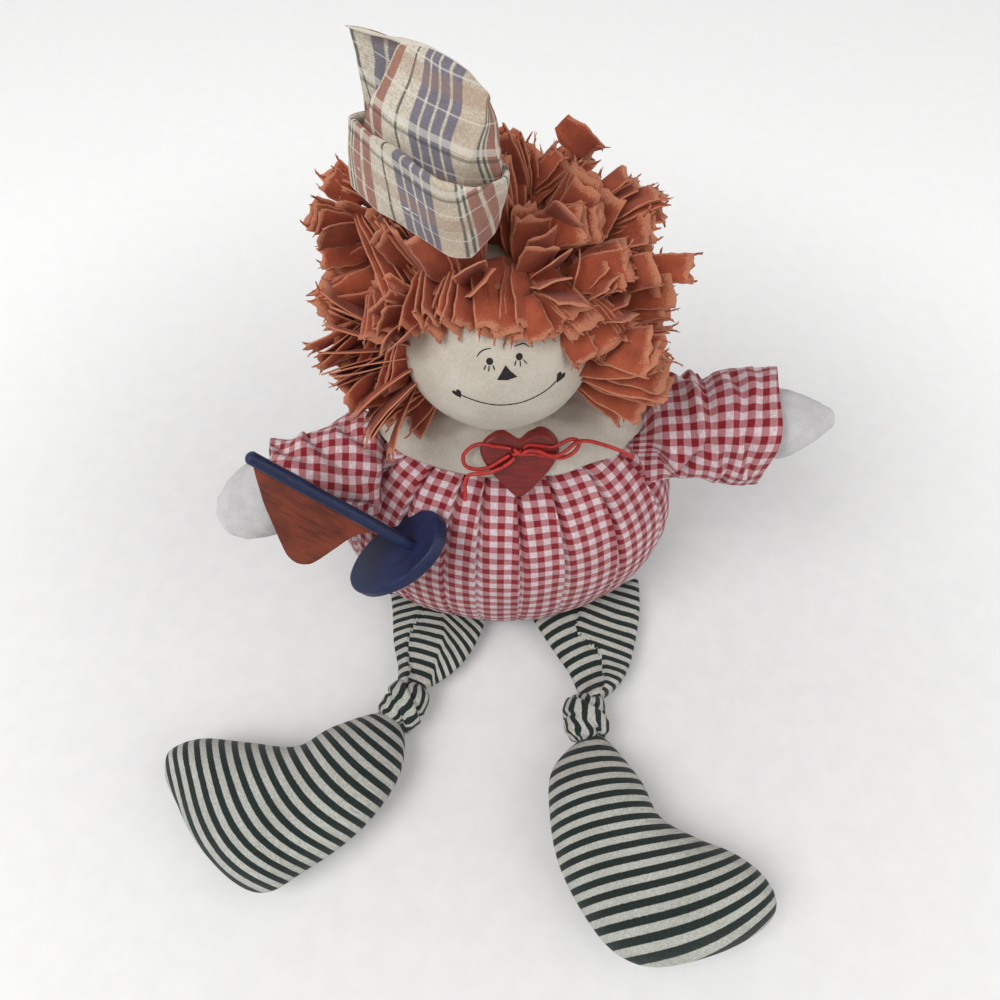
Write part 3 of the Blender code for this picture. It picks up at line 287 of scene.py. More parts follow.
def hair_material():
    """Torn terracotta cloth with pale frayed edges."""
    shader = Shader("hair_cloth", 0.95, sheen=0.1)
    u, v = shader.uv()[:2]
    across, along = shader.uv("rim")[:2]
    slub = cloth_noise(shader, u, v)
    cloud = shader.noise(shader.place(), 90.0, 2.0)
    fray = shader.noise(shader.place(), 1500.0, 2.0)
    rib = shader.band(v, 0.8 * MM, 0.5, 0.2)
    base = shader.mix(shader.ramp(cloud, 0.3, 0.7), colour(146, 62, 38), colour(186, 92, 62))
    base = shader.mix(shader.math("MULTIPLY", rib, 0.22), base, colour(206, 122, 90))
    base = shader.mix(shader.ramp(slub, 0.3, 0.7, 0.0, 0.3), base, colour(120, 44, 26))
    side = shader.math("ABSOLUTE", shader.math("SUBTRACT", shader.math("MULTIPLY", across, 2.0), 1.0))
    rim = shader.math("MAXIMUM", side, along)
    rim = shader.math("ADD", rim, shader.math("MULTIPLY", shader.math("SUBTRACT", fray, 0.5), 0.22))
    edge = shader.ramp(rim, 0.86, 0.97, 0.0, 0.75)
    base = shader.mix(edge, base, colour(216, 146, 112))
    height = shader.math("ADD", shader.weave(u, v, 0.36 * MM), shader.math("MULTIPLY", slub, 2.5))
    return shader.finish(base, shader.bump(height, 0.45, 0.00014))


def paint_material(name, dark, light, bare, axis, roughness=0.42, wear=0.62, coat=0.0,
                   grain_depth=0.00012):
    """Satin paint or stain on wood: grain along an axis and thin worn places."""
    shader = Shader(name, roughness, coat=coat, specular=0.3)
    if coat:
        shader.out.inputs["Coat Roughness"].default_value = 0.12
    place = shader.place()
    turn = Vector(axis).normalized().to_track_quat("X", "Z").inverted().to_euler()
    mapping = shader.tree.nodes.new("ShaderNodeMapping")
    mapping.inputs["Rotation"].default_value = turn
    shader.tree.links.new(place, mapping.inputs["Vector"])
    x, y, z = shader.split(mapping.outputs[0])
    lengthways = shader.join(shader.math("MULTIPLY", x, 0.12), y, z)
    grain = shader.noise(lengthways, 900.0, 4.0, 0.65)
    cloud = shader.noise(place, 55.0, 3.0)
    chips = shader.noise(lengthways, 420.0, 5.0, 0.7)
    tone = shader.math("ADD", shader.math("MULTIPLY", grain, 0.5), shader.math("MULTIPLY", cloud, 0.5))
    base = shader.mix(shader.ramp(tone, 0.35, 0.65), colour(*dark), colour(*light))
    patchy = shader.math("ADD", chips, shader.math("MULTIPLY", cloud, 0.18))
    worn = shader.ramp(patchy, wear + 0.09, wear + 0.16)
    base = shader.mix(shader.math("MULTIPLY", worn, 0.8), base, colour(*bare))
    rough = shader.ramp(tone, 0.3, 0.7, roughness - 0.08, roughness + 0.12)
    return shader.finish(base, shader.bump(grain, 0.25, grain_depth), rough)


def string_material():
    """Waxed red cord with its twist."""
    shader = Shader("red_string", 0.38, coat=0.25, specular=0.5)
    shader.out.inputs["Coat Roughness"].default_value = 0.25
    place = shader.place()
    x, y, z = shader.split(place)
    twist = shader.band(shader.math("ADD", shader.math("ADD", x, y), z), 0.9 * MM, 0.5, 0.2)
    cloud = shader.noise(place, 500.0, 2.0)
    base = shader.mix(shader.ramp(cloud, 0.3, 0.7), colour(158, 14, 12), colour(206, 36, 22))
    base = shader.mix(shader.math("MULTIPLY", twist, 0.3), base, colour(120, 8, 10))
    return shader.finish(base, shader.bump(twist, 0.5, 0.00015))


# Mesh helpers

def add_mesh(name, verts, faces, material, smooth=True, uvs=None, recalc=True):
    """Link a mesh. uvs is a dict of layer name to one (u, v) for each corner of each face."""
    mesh = bpy.data.meshes.new(name)
    mesh.from_pydata([tuple(map(float, place)) for place in verts], [], [tuple(face) for face in faces])
    for layer, values in (uvs or {}).items():
        made = mesh.uv_layers.new(name=layer)
        flat = np.array([corner for face in values for corner in face], np.float32)
        made.data.foreach_set("uv", flat.ravel())
    if recalc:
        bm = bmesh.new()
        bm.from_mesh(mesh)
        bmesh.ops.recalc_face_normals(bm, faces=bm.faces)
        bm.to_mesh(mesh)
        bm.free()
    if smooth:
        mesh.shade_smooth()
    made = bpy.data.objects.new(name, mesh)
    bpy.context.scene.collection.objects.link(made)
    if material is not None:
        mesh.materials.append(material)
    return made


def skin(points, wrap=True, caps=(False, False), uv=None, uv_next=None):
    """Faces and corner maps of a grid of points. uv_next is the far side of each column, where it is cut."""
    points = np.asarray(points, float)
    rows, columns = points.shape[:2]
    verts = points.reshape(-1, 3).tolist()
    faces = []
    corners = []
    reach = columns if wrap else columns - 1
    for row in range(rows - 1):
        for column in range(reach):
            follow = (column + 1) % columns
            faces.append((row * columns + column, row * columns + follow,
                          (row + 1) * columns + follow, (row + 1) * columns + column))
            if uv is not None:
                if uv_next is not None:
                    near, far = uv, uv_next
                    corners.append((near[row][column], far[row][column],
                                    far[row + 1][column], near[row + 1][column]))
                else:
                    corners.append((uv[row][column], uv[row][column + 1],
                                    uv[row + 1][column + 1], uv[row + 1][column]))
    for end, capped in zip((0, rows - 1), caps):
        if capped:
            centre = points[end].mean(0)
            verts.append(centre.tolist())
            hub = len(verts) - 1
            middle = None
            if uv is not None:
                middle = tuple(np.asarray(uv[end], float).mean(0))
            for column in range(reach):
                follow = (column + 1) % columns
                faces.append((end * columns + column, end * columns + follow, hub))
                if uv is not None:
                    start = uv[end][column]
                    other = uv_next[end][column] if uv_next is not None else uv[end][column + 1]
                    corners.append((start, other, middle))
    return verts, faces, corners


def spline(values, where, odd=False):
    """Uniform cubic B-spline of a row of numbers, mirrored or turned over at its ends."""
    values = np.asarray(values, float)
    if odd:
        values = np.concatenate(([2 * values[0] - values[1]], values, [2 * values[-1] - values[-2]]))
    else:
        values = np.concatenate(([values[1]], values, [values[-2]]))
    where = np.asarray(where, float)
    start = np.clip(np.floor(where).astype(int), 0, len(values) - 4)
    share = where - start
    return ((1 - share) ** 3 * values[start] + (3 * share ** 3 - 6 * share ** 2 + 4) * values[start + 1]
            + (-3 * share ** 3 + 3 * share ** 2 + 3 * share + 1) * values[start + 2]
            + share ** 3 * values[start + 3]) / 6


def smooth(low, high, value):
    """Ease from 0 at low to 1 at high."""
    share = np.clip((np.asarray(value, float) - low) / (high - low), 0.0, 1.0)
    return share * share * (3 - 2 * share)


def lump(place, size, seed=0.0):
    """A smooth swell between -1 and 1 that repeats the same each run."""
    return noise.noise(Vector((place[0] / size + seed, place[1] / size - seed, place[2] / size + seed * 0.7)))


def row_normals(points, wrap=True):
    """Outward normal of each point of a grid."""
    points = np.asarray(points, float)
    if wrap:
        side = np.roll(points, -1, 1) - np.roll(points, 1, 1)
    else:
        side = np.gradient(points, axis=1)
    up = np.gradient(points, axis=0)
    normal = np.cross(side, up)
    length = np.linalg.norm(normal, axis=2, keepdims=True)
    return normal / np.maximum(length, 1e-12)


def arc_lengths(points):
    """Length along each column of a grid, from the first row."""
    step = np.linalg.norm(np.diff(points, axis=0), axis=2)
    return np.concatenate((np.zeros((1, step.shape[1])), np.cumsum(step, 0)), 0)


def solidify(piece, thickness, offset=-1.0):
    """Give a sheet its thickness."""
    wall = piece.modifiers.new("thickness", "SOLIDIFY")
    wall.thickness = thickness
    wall.offset = offset


GINGHAM = gingham_material()
TICKING = ticking_material()
MUSLIN = plain_material("muslin", (176, 166, 152), (212, 204, 192), cloudy=45.0)
FACE = plain_material("face_muslin", (186, 176, 160), (216, 208, 194), sheen=0.05, roughness=0.8,
                      cloudy=40.0)
MITTEN = plain_material("mitten_muslin", (196, 194, 194), (224, 222, 222), sheen=0.05, roughness=0.85)
# Dark cotton of the seat; its darkness is partly painted shade for the shadow under the smock's edge
SEAT_DARK_AND_SHADE = plain_material("dark_cotton", (26, 30, 40), (58, 64, 74))
CALICO = plain_material("calico", (170, 160, 140), (205, 196, 176))
HAIR = hair_material()
STRING = string_material()
ALONG_MAST = (-0.666, 0.032, 0.745)
ALONG_KEEL = (-0.746, -0.042, -0.665)
ALONG_HEART = (1.0, 0.0, 0.0)
NAVY = paint_material("navy_paint", (20, 27, 54), (36, 47, 86), (108, 116, 150), ALONG_MAST)
DECK = paint_material("deck_paint", (20, 27, 56), (35, 46, 86), (92, 100, 132), ALONG_KEEL, wear=0.68)
SAIL = paint_material("sail_stain", (88, 34, 22), (140, 62, 38), (196, 140, 112), ALONG_MAST, wear=0.74)
HEART = paint_material("heart_stain", (88, 12, 11), (124, 26, 22), (160, 80, 72), ALONG_HEART,
                       roughness=0.34, wear=0.84, coat=0.25, grain_depth=0.00003)
# Lighter copy of the heart's stain: a painted highlight for the faces that look up, where the top edge catches
# the light; its worn chips are real wear
HEART_TOP_HIGHLIGHT = paint_material("heart_top_painted_highlight", (132, 44, 40), (164, 74, 68), (180, 104, 96), ALONG_HEART,
                           roughness=0.4, wear=0.84, grain_depth=0.00003)
INK = paint_material("ink", (20, 16, 16), (44, 36, 34), (70, 58, 52), ALONG_HEART, roughness=0.7, wear=0.8)


# The bow's cords and knot, and the wooden heart

STRING_DIAMETER = 0.0016
HEART_WIDTH, HEART_HEIGHT, HEART_THICKNESS = 0.0310, 0.0275, 0.0046
HEART_CENTRE = Vector((0.0062, -0.0214, 0.1215))
HEART_AXES = Matrix(((1.0, 0.0, 0.0), (0.0, 0.6, -0.8), (0.0, 0.8, 0.6)))
BOW_ROUTES = {
    "bow_loop_left": (
        (-3.3, 6.0, 0.8), (-6.5, 6.4, 0.0), (-10.0, 6.8, 0.0), (-14.3, 7.7, 0.0), (-17.6, 7.1, 0.0),
        (-20.3, 5.3, 0.0), (-22.1, 2.5, 0.0), (-21.4, -0.8, 0.0), (-18.3, -2.4, 0.0),
        (-14.4, -2.4, 0.0), (-10.8, -1.2, 0.0), (-7.3, 1.1, 0.0), (-3.8, 3.4, 0.8)),
    "bow_loop_right": (
        (1.1, 6.2, 0.8), (3.5, 7.3, 0.0), (7.8, 7.0, 0.0), (12.5, 6.5, 0.0), (16.3, 8.1, 0.0),
        (20.1, 9.7, 0.0), (22.9, 8.5, 0.0), (22.2, 5.7, 0.0), (19.6, 3.3, 0.0), (16.1, 2.1, 0.0),
        (12.2, 2.5, 0.0), (7.9, 3.3, 0.0), (4.2, 3.8, 0.0), (1.3, 3.7, 0.8)),
    "bow_tail_left": (
        (-2.0, 2.5, 0.8), (-4.4, 0.2, 1.2), (-8.2, -2.0, 1.7), (-12.4, -3.4, 1.7), (-16.6, -3.9, 1.7),
        (-19.6, -4.6, 0.8), (-21.2, -6.8, 0.0), (-21.6, -9.8, 0.0), (-21.4, -13.0, 0.0), (-21.8, -15.6, 0.0)),
    "bow_tail_right": (
        (-0.1, 3.4, 1.6), (3.0, 5.6, 2.4), (7.2, 5.4, 2.2), (11.4, 3.6, 1.9), (15.6, 3.9, 1.9),
        (19.0, 6.6, 1.8), (22.6, 8.9, 0.9), (27.0, 8.8, 0.0), (31.6, 7.6, 0.0), (36.0, 6.2, 0.0),
        (40.0, 4.6, 0.0), (44.2, 2.2, 0.0))}


def heart_place(x, y, lift):
    """Point over the heart's face, from millimetres in its own axes."""
    return HEART_CENTRE + HEART_AXES @ Vector((x, y, lift)) * MM


def fine_route(places, steps=4):
    """Smooth curve through a route."""
    points = [Vector(place) for place in places]
    padded = [points[0] * 2 - points[1]] + points + [points[-1] * 2 - points[-2]]
    made = []
    for index in range(len(points) - 1):
        before, start, end, after = padded[index:index + 4]
        for step in range(steps):
            share = step / steps
            made.append(((start * 2) + (end - before) * share
                         + (before * 2 - start * 5 + end * 4 - after) * share ** 2
                         + (start * 3 - before - end * 3 + after) * share ** 3) / 2)
    return made + [points[-1]]


def make_cords():
    """The two loops and two free ends of the bow."""
    for name, route in BOW_ROUTES.items():
        places = fine_route([heart_place(x, y, 3.2 + rise) for x, y, rise in route])
        curve = bpy.data.curves.new(name + "_string", "CURVE")
        curve.dimensions = "3D"
        curve.bevel_depth = STRING_DIAMETER / 2
        curve.bevel_resolution = 4
        curve.use_fill_caps = True
        spline_made = curve.splines.new("POLY")
        spline_made.points.add(len(places) - 1)
        for point, place in zip(spline_made.points, places):
            point.co = (*place, 1.0)
        curve.materials.append(STRING)
        string = bpy.data.objects.new(name + "_string", curve)
        bpy.context.scene.collection.objects.link(string)
        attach(string, "trunk")
        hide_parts(name)


def tube(places, radii, sides=10):
    """Rings round a path, as a grid of points."""
    places = [Vector(place) for place in places]
    rings = []
    side = None
    for index, place in enumerate(places):
        ahead = (places[min(index + 1, len(places) - 1)] - places[max(index - 1, 0)]).normalized()
        if side is None:
            side = ahead.orthogonal().normalized()
        side = (side - ahead * side.dot(ahead)).normalized()
        other = ahead.cross(side)
        radius = radii[index] if hasattr(radii, "__len__") else radii
        rings.append([place + (side * math.cos(turn) + other * math.sin(turn)) * radius
                      for turn in (2 * math.pi * step / sides for step in range(sides))])
    return np.array(rings)


def make_bow_knot():
    """Two turns of cord crossed over each other, with their ends tucked in."""
    verts, faces = [], []
    for turn in range(2):
        places = []
        for step in range(15):
            angle = math.radians(-150 + 300 * step / 14)
            lean = 0.55 if turn == 0 else -0.75
            x = 1.5 * math.sin(angle) * (1.0 if turn == 0 else 0.7)
            y = 1.0 * math.sin(angle) * lean + (0.35 if turn else -0.35)
            places.append(heart_place(-1.1 + x, 4.9 + y, 4.3 + 1.1 * math.cos(angle) + 0.3 * turn))
        more, skinned, _ = skin(tube(places, 0.8 * MM), True, (True, True))
        start = len(verts)
        verts += more
        faces += [[start + corner for corner in face] for face in skinned]
    knot = add_mesh("bow_knot_turns", verts, faces, STRING)
    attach(knot, "trunk")
    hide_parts("bow_knot")


make_cords()
make_bow_knot()


def outline_curve(points, steps):
    """Closed smooth curve through outline points."""
    count = len(points)
    made = []
    for index in range(count):
        before, start, end, after = (Vector(points[(index + shift) % count]) for shift in (-1, 0, 1, 2))
        for step in range(steps):
            share = step / steps
            made.append(((start * 2) + (end - before) * share
                         + (before * 2 - start * 5 + end * 4 - after) * share ** 2
                         + (start * 3 - before - end * 3 + after) * share ** 3) / 2)
    return made


def plate(name, outline, thickness, axes, centre, material, round_by, dome=0.0, lean=0.0):
    """A board cut to an outline with rounded edges. dome swells its face, and lean cuts back its top edge."""
    outline = np.array([tuple(place) for place in outline], float)
    middle = outline.mean(0)
    steps = 5
    layers = []
    size = np.linalg.norm(outline - middle, axis=1).mean()
    inner = [0.12, 0.4, 0.66, 0.86, 1.0 - round_by * 1.35 / size]
    edge = [(1.0 - round_by * (1 - math.sin(angle)) / size, thickness / 2 - round_by * (1 - math.cos(angle)))
            for angle in np.linspace(0, math.pi / 2, steps)]
    profile = [(share, thickness / 2) for share in inner] + edge
    full = profile + [(share, -height) for share, height in reversed(profile)]
    for share, height in full:
        lift = dome * max(0.0, 1.0 - share ** 2) if height > 0 else 0.0
        ring = middle + (outline - middle) * share
        ring[:, 1] -= lean * (height / thickness + 0.5) * smooth(0.0, 0.0125, ring[:, 1])
        layers.append(np.column_stack((ring, np.full(len(ring), height + lift))))
    verts, faces, _ = skin(np.array(layers), True, (True, True))
    axes = np.array(axes)
    placed = np.array(verts) @ axes.T + np.array(centre)
    return add_mesh(name, placed, faces, material)


def make_heart():
    """Stained wooden heart with softened edges, a cleft at its top and its top edge cut back."""
    shares = ((0.0, -0.53), (0.22, -0.33), (0.42, -0.06), (0.5, 0.18), (0.45, 0.38), (0.30, 0.50),
              (0.13, 0.47), (0.0, 0.38))
    right = list(shares)
    left = [(-x, y) for x, y in reversed(right[1:-1])]
    outline = outline_curve([(x * HEART_WIDTH, y * HEART_HEIGHT) for x, y in right + left], 6)
    heart = plate("heart", outline, HEART_THICKNESS, HEART_AXES, HEART_CENTRE, HEART, 0.0010, 0.0004,
                  0.0030)
    # Faces that look up take the lighter copy of the stain, a painted highlight along the heart's top edge
    heart.data.materials.append(HEART_TOP_HIGHLIGHT)
    up = Vector(HEART_AXES.col[1])
    for polygon in heart.data.polygons:
        if polygon.normal @ up > 0.3:
            polygon.material_index = 1
    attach(heart, "trunk")
    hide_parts("heart_button")


make_heart()


# Body: pleated gingham over a stuffed egg, sewn to a dark seat

BODY_HEIGHTS = (0.0, 0.0, 0.05, 0.17, 0.35, 0.53, 0.69, 0.83, 0.94, 1.0)
BODY_WIDTHS = (0.0, 0.42, 0.76, 0.92, 1.0, 1.0, 0.9, 0.74, 0.46, 0.0)
BODY_DEPTHS = (0.0, 0.42, 0.78, 0.93, 1.0, 0.96, 0.84, 0.66, 0.42, 0.0)
BODY_HALF_WIDTH = 0.0815
BODY_HALF_DEPTH = 0.0495
BODY_HEIGHT = 0.127
BODY_INSET = 0.985
BODY_LEAN = 0.004
BODY_SINK = 0.0005
BODY_ROWS_END = 8.75
PANEL_SHIFT = 0.0717
SMOCK_THICKNESS = 0.0009
SEAM_TILT = math.radians(30)
SEAM_HEIGHT = 0.033
PLEATS = (-176, -152, -128, -106, -84, -60, -38, -20, -9, 5.5, 20.5, 41, 66, 92, 114, 138, 160)


def body_point(where, turn):
    """Point of the body: where is the row of the egg, turn the angle from the front towards the left hand."""
    high = spline(BODY_HEIGHTS, where)
    wide = spline(BODY_WIDTHS, where, True) * BODY_HALF_WIDTH * BODY_INSET
    deep = spline(BODY_DEPTHS, where, True) * BODY_HALF_DEPTH * BODY_INSET
    back = BODY_LEAN * high - deep * np.cos(turn)
    return np.stack((wide * np.sin(turn), back, BODY_HEIGHT * high - BODY_SINK), -1)


def above_seam(place):
    """Height of a point over the tilted seam plane."""
    return -math.sin(SEAM_TILT) * place[..., 1] + math.cos(SEAM_TILT) * (place[..., 2] - SEAM_HEIGHT)


def seam_row(turn):
    """Row of the egg at which its seam runs, for each angle."""
    low = np.full(turn.shape, 1.2)
    high = np.full(turn.shape, 7.0)
    for _ in range(40):
        middle = (low + high) / 2
        over = above_seam(body_point(middle, turn)) > 0
        high = np.where(over, middle, high)
        low = np.where(over, low, middle)
    return (low + high) / 2


def panel_angles(per_panel):
    """Column angles, the panel of each column and the angles where panels meet."""
    edges = [math.radians(value) for value in PLEATS] + [math.radians(PLEATS[0] + 360)]
    turns, panels = [], []
    for index in range(len(PLEATS)):
        share = np.arange(per_panel) / per_panel
        share = 0.45 * share + 0.275 * (1 - np.cos(math.pi * share))
        turns += list(edges[index] + (edges[index + 1] - edges[index]) * share)
        panels += [index] * per_panel
    return np.array(turns), np.array(panels), edges


def make_torso():
    """Gingham smock: panels whose checks stay square, folded under each other towards the neck."""
    per_panel = 18
    turns, panels, edges = panel_angles(per_panel)
    rows = 70
    start = seam_row(turns)
    share = np.linspace(0.0, 1.0, rows)[:, None]
    where = start[None, :] + (BODY_ROWS_END - start[None, :]) * share
    points = body_point(where, np.broadcast_to(turns, where.shape))
    normals = row_normals(points)
    normals *= np.sign((normals * (points - np.array([0, 0, 0.06]))).sum(2, keepdims=True))
    widths = np.linalg.norm(np.roll(points, -1, 1) - points, axis=2)
    height = points[..., 2]
    closeness = smooth(0.030, 0.108, height)
    for column, turn in enumerate(turns):
        panel = panels[column]
        into = (turn - edges[panel]) / (edges[panel + 1] - edges[panel])
        wide = widths[:, panels == panel].sum(1)
        near = into * wide
        far = (1 - into) * wide
        weight = 0.35 + 1.25 * closeness[:, column]
        ridge = 0.9 * MM * np.exp(-(far / (3.0 * MM)) ** 2)
        dip = -2.0 * MM * np.exp(-(near / (1.5 * MM)) ** 2)
        swell = 0.5 * MM * np.sin(np.pi * into)
        seam = -1.3 * MM * np.exp(-(above_seam(points[:, column]) / (2.2 * MM)) ** 2)
        push = weight * (ridge + dip) + swell * (1 - closeness[:, column]) + seam
        for row in range(rows):
            place = points[row, column]
            push[row] += 1.1 * MM * lump(place, 0.026, 3.0) + 0.35 * MM * lump(place, 0.009, 8.0)
        points[:, column] += normals[:, column] * push[:, None]
    length = arc_lengths(points)
    v = length - length[rows // 2][None, :] + 0.05
    uv = np.zeros(points.shape[:2] + (2,))
    uv_far = np.zeros_like(uv)
    for panel in range(len(PLEATS)):
        own = np.flatnonzero(panels == panel)
        far = np.cumsum(widths[:, own], 1) - widths[:, own].sum(1, keepdims=True) / 2
        uv[:, own, 0] = far - widths[:, own] + panel * PANEL_SHIFT
        uv_far[:, own, 0] = far + panel * PANEL_SHIFT
    uv[..., 1] = v
    uv_far[..., 1] = np.roll(v, -1, 1)
    verts, faces, corners = skin(points, True, (False, True), uv, uv_far)
    torso = add_mesh("smock", verts, faces, GINGHAM, uvs={"cloth": corners})
    solidify(torso, SMOCK_THICKNESS)
    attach(torso, "trunk")
    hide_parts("torso")


def make_seat():
    """Dark cotton seat below the seam, flat where the doll sits; its dark colour also stands in for painted
    shade under the smock.
    """
    count = 120
    turns = np.linspace(-math.pi, math.pi, count, endpoint=False)
    rows = 30
    start = seam_row(turns)
    share = np.linspace(0.0, 1.0, rows)[:, None]
    where = 0.25 + (start[None, :] - 0.25) * share
    points = body_point(where, np.broadcast_to(turns, where.shape))
    normals = row_normals(points)
    normals *= np.sign((normals * (points - np.array([0, 0, 0.05]))).sum(2, keepdims=True))
    for row in range(rows):
        for column in range(count):
            over = above_seam(points[row, column])
            push = -1.1 * MM * math.exp(-(over / (2.2 * MM)) ** 2)
            push += 0.7 * MM * lump(points[row, column], 0.014, 21.0)
            push += 0.35 * MM * math.sin(turns[column] * 34) * math.exp(over / (6 * MM))
            points[row, column] += normals[row, column] * push
    points[..., 2] = np.maximum(points[..., 2], 0.0)
    length = arc_lengths(points)
    wide = np.linalg.norm(points[..., :2], axis=2)
    u = np.concatenate((turns, [math.pi]))[None, :] * np.concatenate((wide, wide[:, :1]), 1)
    v = np.concatenate((length, length[:, :1]), 1)
    uv = np.stack((u, v), -1)
    verts, faces, corners = skin(points, True, (True, False), uv)
    seat = add_mesh("seat", verts, faces, SEAT_DARK_AND_SHADE, uvs={"cloth": corners})
    solidify(seat, 0.0009)
    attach(seat, "trunk")
    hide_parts("seat_panel")


def make_pouch():
    """Bag of pellets inside the seat: a calico pillow with gathered ends."""
    rows, columns = 26, 40
    polar = np.linspace(0.02, math.pi - 0.02, rows)[:, None]
    turn = np.linspace(0, 2 * math.pi, columns, endpoint=False)[None, :]
    radius = np.sin(polar) ** 0.8
    points = np.stack((0.041 * np.cos(polar) * np.ones_like(turn), 0.0252 * radius * np.cos(turn),
                       0.0126 * radius * np.sin(turn)), -1)
    for row in range(rows):
        for column in range(columns):
            points[row, column] *= 1.0 + 0.02 * lump(points[row, column], 0.005, 5.0)
    tilt = np.array(Matrix.Rotation(SEAM_TILT, 3, "X"))
    points = points @ tilt.T + np.array([0.0, 0.006, 0.030])
    length = arc_lengths(points)
    around = np.linspace(0, 2 * math.pi, columns + 1)[None, :] * 0.02 * np.ones((rows, 1))
    uv = np.stack((around, np.concatenate((length, length[:, :1]), 1)), -1)
    verts, faces, corners = skin(points, True, (True, True), uv)
    pouch = add_mesh("pouch", verts, faces, CALICO, uvs={"cloth": corners})
    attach(pouch, "trunk")
    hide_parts("pellet_pouch")


make_torso()
make_seat()
make_pouch()


# Neck and collar

def lay_uv(points, wrap=True):
    """Map of a grid in metres: lengths along the columns, widths along the rows, with the far sides."""
    points = np.asarray(points, float)
    step = np.linalg.norm(np.roll(points, -1, 1) - points, axis=2)
    far_u = np.cumsum(step, 1)
    near_u = far_u - step
    middle = far_u[:, -1:] / 2
    length = arc_lengths(points)
    near = np.stack((near_u - middle, length), -1)
    far = np.stack((far_u - middle, np.roll(length, -1, 1)), -1)
    return (near, far) if wrap else near


def dress(piece, body, node):
    """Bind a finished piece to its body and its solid."""
    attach(piece, body)
    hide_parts(*((node,) if isinstance(node, str) else node))


NECK_FOOT, NECK_HEIGHT = 0.1165, 0.0350


def make_neck():
    """Gathered muslin neck, wider where it is sewn to the body."""
    rows, columns = 26, 96
    share = np.linspace(0.0, 1.0, rows)[:, None]
    turn = np.linspace(0, 2 * math.pi, columns, endpoint=False)[None, :]
    high = NECK_FOOT + NECK_HEIGHT * share
    radius = spline((0.0135, 0.0112, 0.0098, 0.0103, 0.0122, 0.0128, 0.0112, 0.0062), share * 7)
    radius = radius + 0.00035 * np.sin(turn * 15 + 0.8 * np.sin(share * 5)) * (1 - share)
    points = np.stack((0.002 + radius * np.sin(turn), 0.004 - radius * np.cos(turn), high + 0 * turn), -1)
    verts, faces, corners = skin(points, True, (True, True), *lay_uv(points))
    dress(add_mesh("neck_stem", verts, faces, MUSLIN, uvs={"cloth": corners}), "neck", "neck")


COLLAR_WAVES = ((20, 0.035, 9), (-6, 0.012, 12), (47, 0.045, 8), (75, 0.02, 12), (-48, 0.02, 13),
                (-80, 0.03, 10), (110, 0.03, 16), (150, 0.03, 15), (-125, 0.03, 16), (-165, 0.02, 14))


def collar_point(out, turn, swell):
    """Point of the collar's middle surface at a share of the way out, moved up by swell."""
    wide = 0.0150 + (0.0590 - 0.0150) * out
    deep = 0.0150 + (0.0380 - 0.0150) * out
    wave = 0.0 * turn
    for middle, size, spread in COLLAR_WAVES:
        away = (np.degrees(turn) - middle + 180) % 360 - 180
        wave = wave + size * np.exp(-(away / spread) ** 2)
    stretch = 1.0 + (wave - 0.018) * smooth(0.45, 1.0, out)
    x = 0.002 + wide * np.sin(turn) * stretch
    y = 0.004 + 0.009 * out - deep * np.cos(turn) * stretch
    z = 0.1302 - 0.0150 * out ** 1.6 + swell
    return np.stack((x, y, z + 0 * turn), -1)


def make_collar():
    """Padded muslin collar, gathered at the neck, with soft hollows between its tufts."""
    columns = 150
    turn = np.linspace(-math.pi, math.pi, columns, endpoint=False)[None, :]
    outs = np.concatenate((np.linspace(0.0, 0.9, 20), (0.93, 0.96, 0.985, 1.0)))[:, None]
    gather = np.sin(turn * 17 + 1.5 * np.sin(turn * 3)) * np.exp(-outs / 0.32)
    puff = np.sqrt(np.clip(1 - np.clip((outs - 0.70) / 0.305, 0, 1) ** 2, 0.0, 1.0))
    top = 0.0032 * puff - 0.0009 + 0.0006 * gather
    under = -0.0024 * puff + 0.0003
    upper = collar_point(outs, turn, top)
    lower = collar_point(outs[::-1], turn, under[::-1])
    for row in range(upper.shape[0]):
        for column in range(columns):
            place = upper[row, column]
            soft = 0.0013 * lump(place, 0.017, 4.0) + 0.0005 * lump(place, 0.007, 9.0)
            upper[row, column, 2] += soft * float(smooth(0.05, 0.35, outs[row, 0]))
    points = np.concatenate((upper, lower), 0)
    verts, faces, corners = skin(points, True, (False, False), *lay_uv(points))
    count = len(points)
    near, far = lay_uv(points)
    for column in range(columns):
        follow = (column + 1) % columns
        faces.append(((count - 1) * columns + column, (count - 1) * columns + follow, follow, column))
        corners.append((near[-1][column], far[-1][column], far[0][column], near[0][column]))
    piece = add_mesh("collar_ruff", verts, faces, MUSLIN, uvs={"cloth": corners})
    dress(piece, "trunk", "collar")


make_neck()
make_collar()


# Head and the drawn face

HEAD_DEPTH = 0.0335
HEAD_ROLL = np.array(Matrix.Rotation(math.radians(-8), 3, "Y"))
HEAD_HEIGHTS = (-1.0, -0.9, -0.58, -0.15, 0.3, 0.68, 0.93, 1.0)
HEAD_WIDTHS = (0.0, 0.46, 0.85, 1.04, 1.02, 0.77, 0.39, 0.0)
INK_WIDTH = 0.00042
SMILE_WIDTH = 0.00046
DARTS = (((-27, 50.1), (-18.3, 34.5)), ((-43.3, 26), (-34, 11.8)), ((50, 40), (44, 18)))


def look(turn, rise):
    """Direction from the head's centre, from two angles in degrees."""
    turn, rise = math.radians(turn), math.radians(rise)
    return np.array((math.sin(turn) * math.cos(rise), -math.cos(turn) * math.cos(rise), math.sin(rise)))


def dart_depth(places):
    """Closeness of head points to the sewn darts, from 0 to 1."""
    unit = places - HEAD_CENTRE
    unit = unit / np.linalg.norm(unit, axis=-1, keepdims=True)
    depth = np.zeros(unit.shape[:-1])
    for start, end in DARTS:
        near, far = look(*start), look(*end)
        run = far - near
        share = np.clip(((unit - near) @ run) / (run @ run), 0.0, 1.0)
        away = np.linalg.norm(unit - near - share[..., None] * run, axis=-1)
        depth = np.maximum(depth, np.exp(-(away / 0.035) ** 2))
    return depth


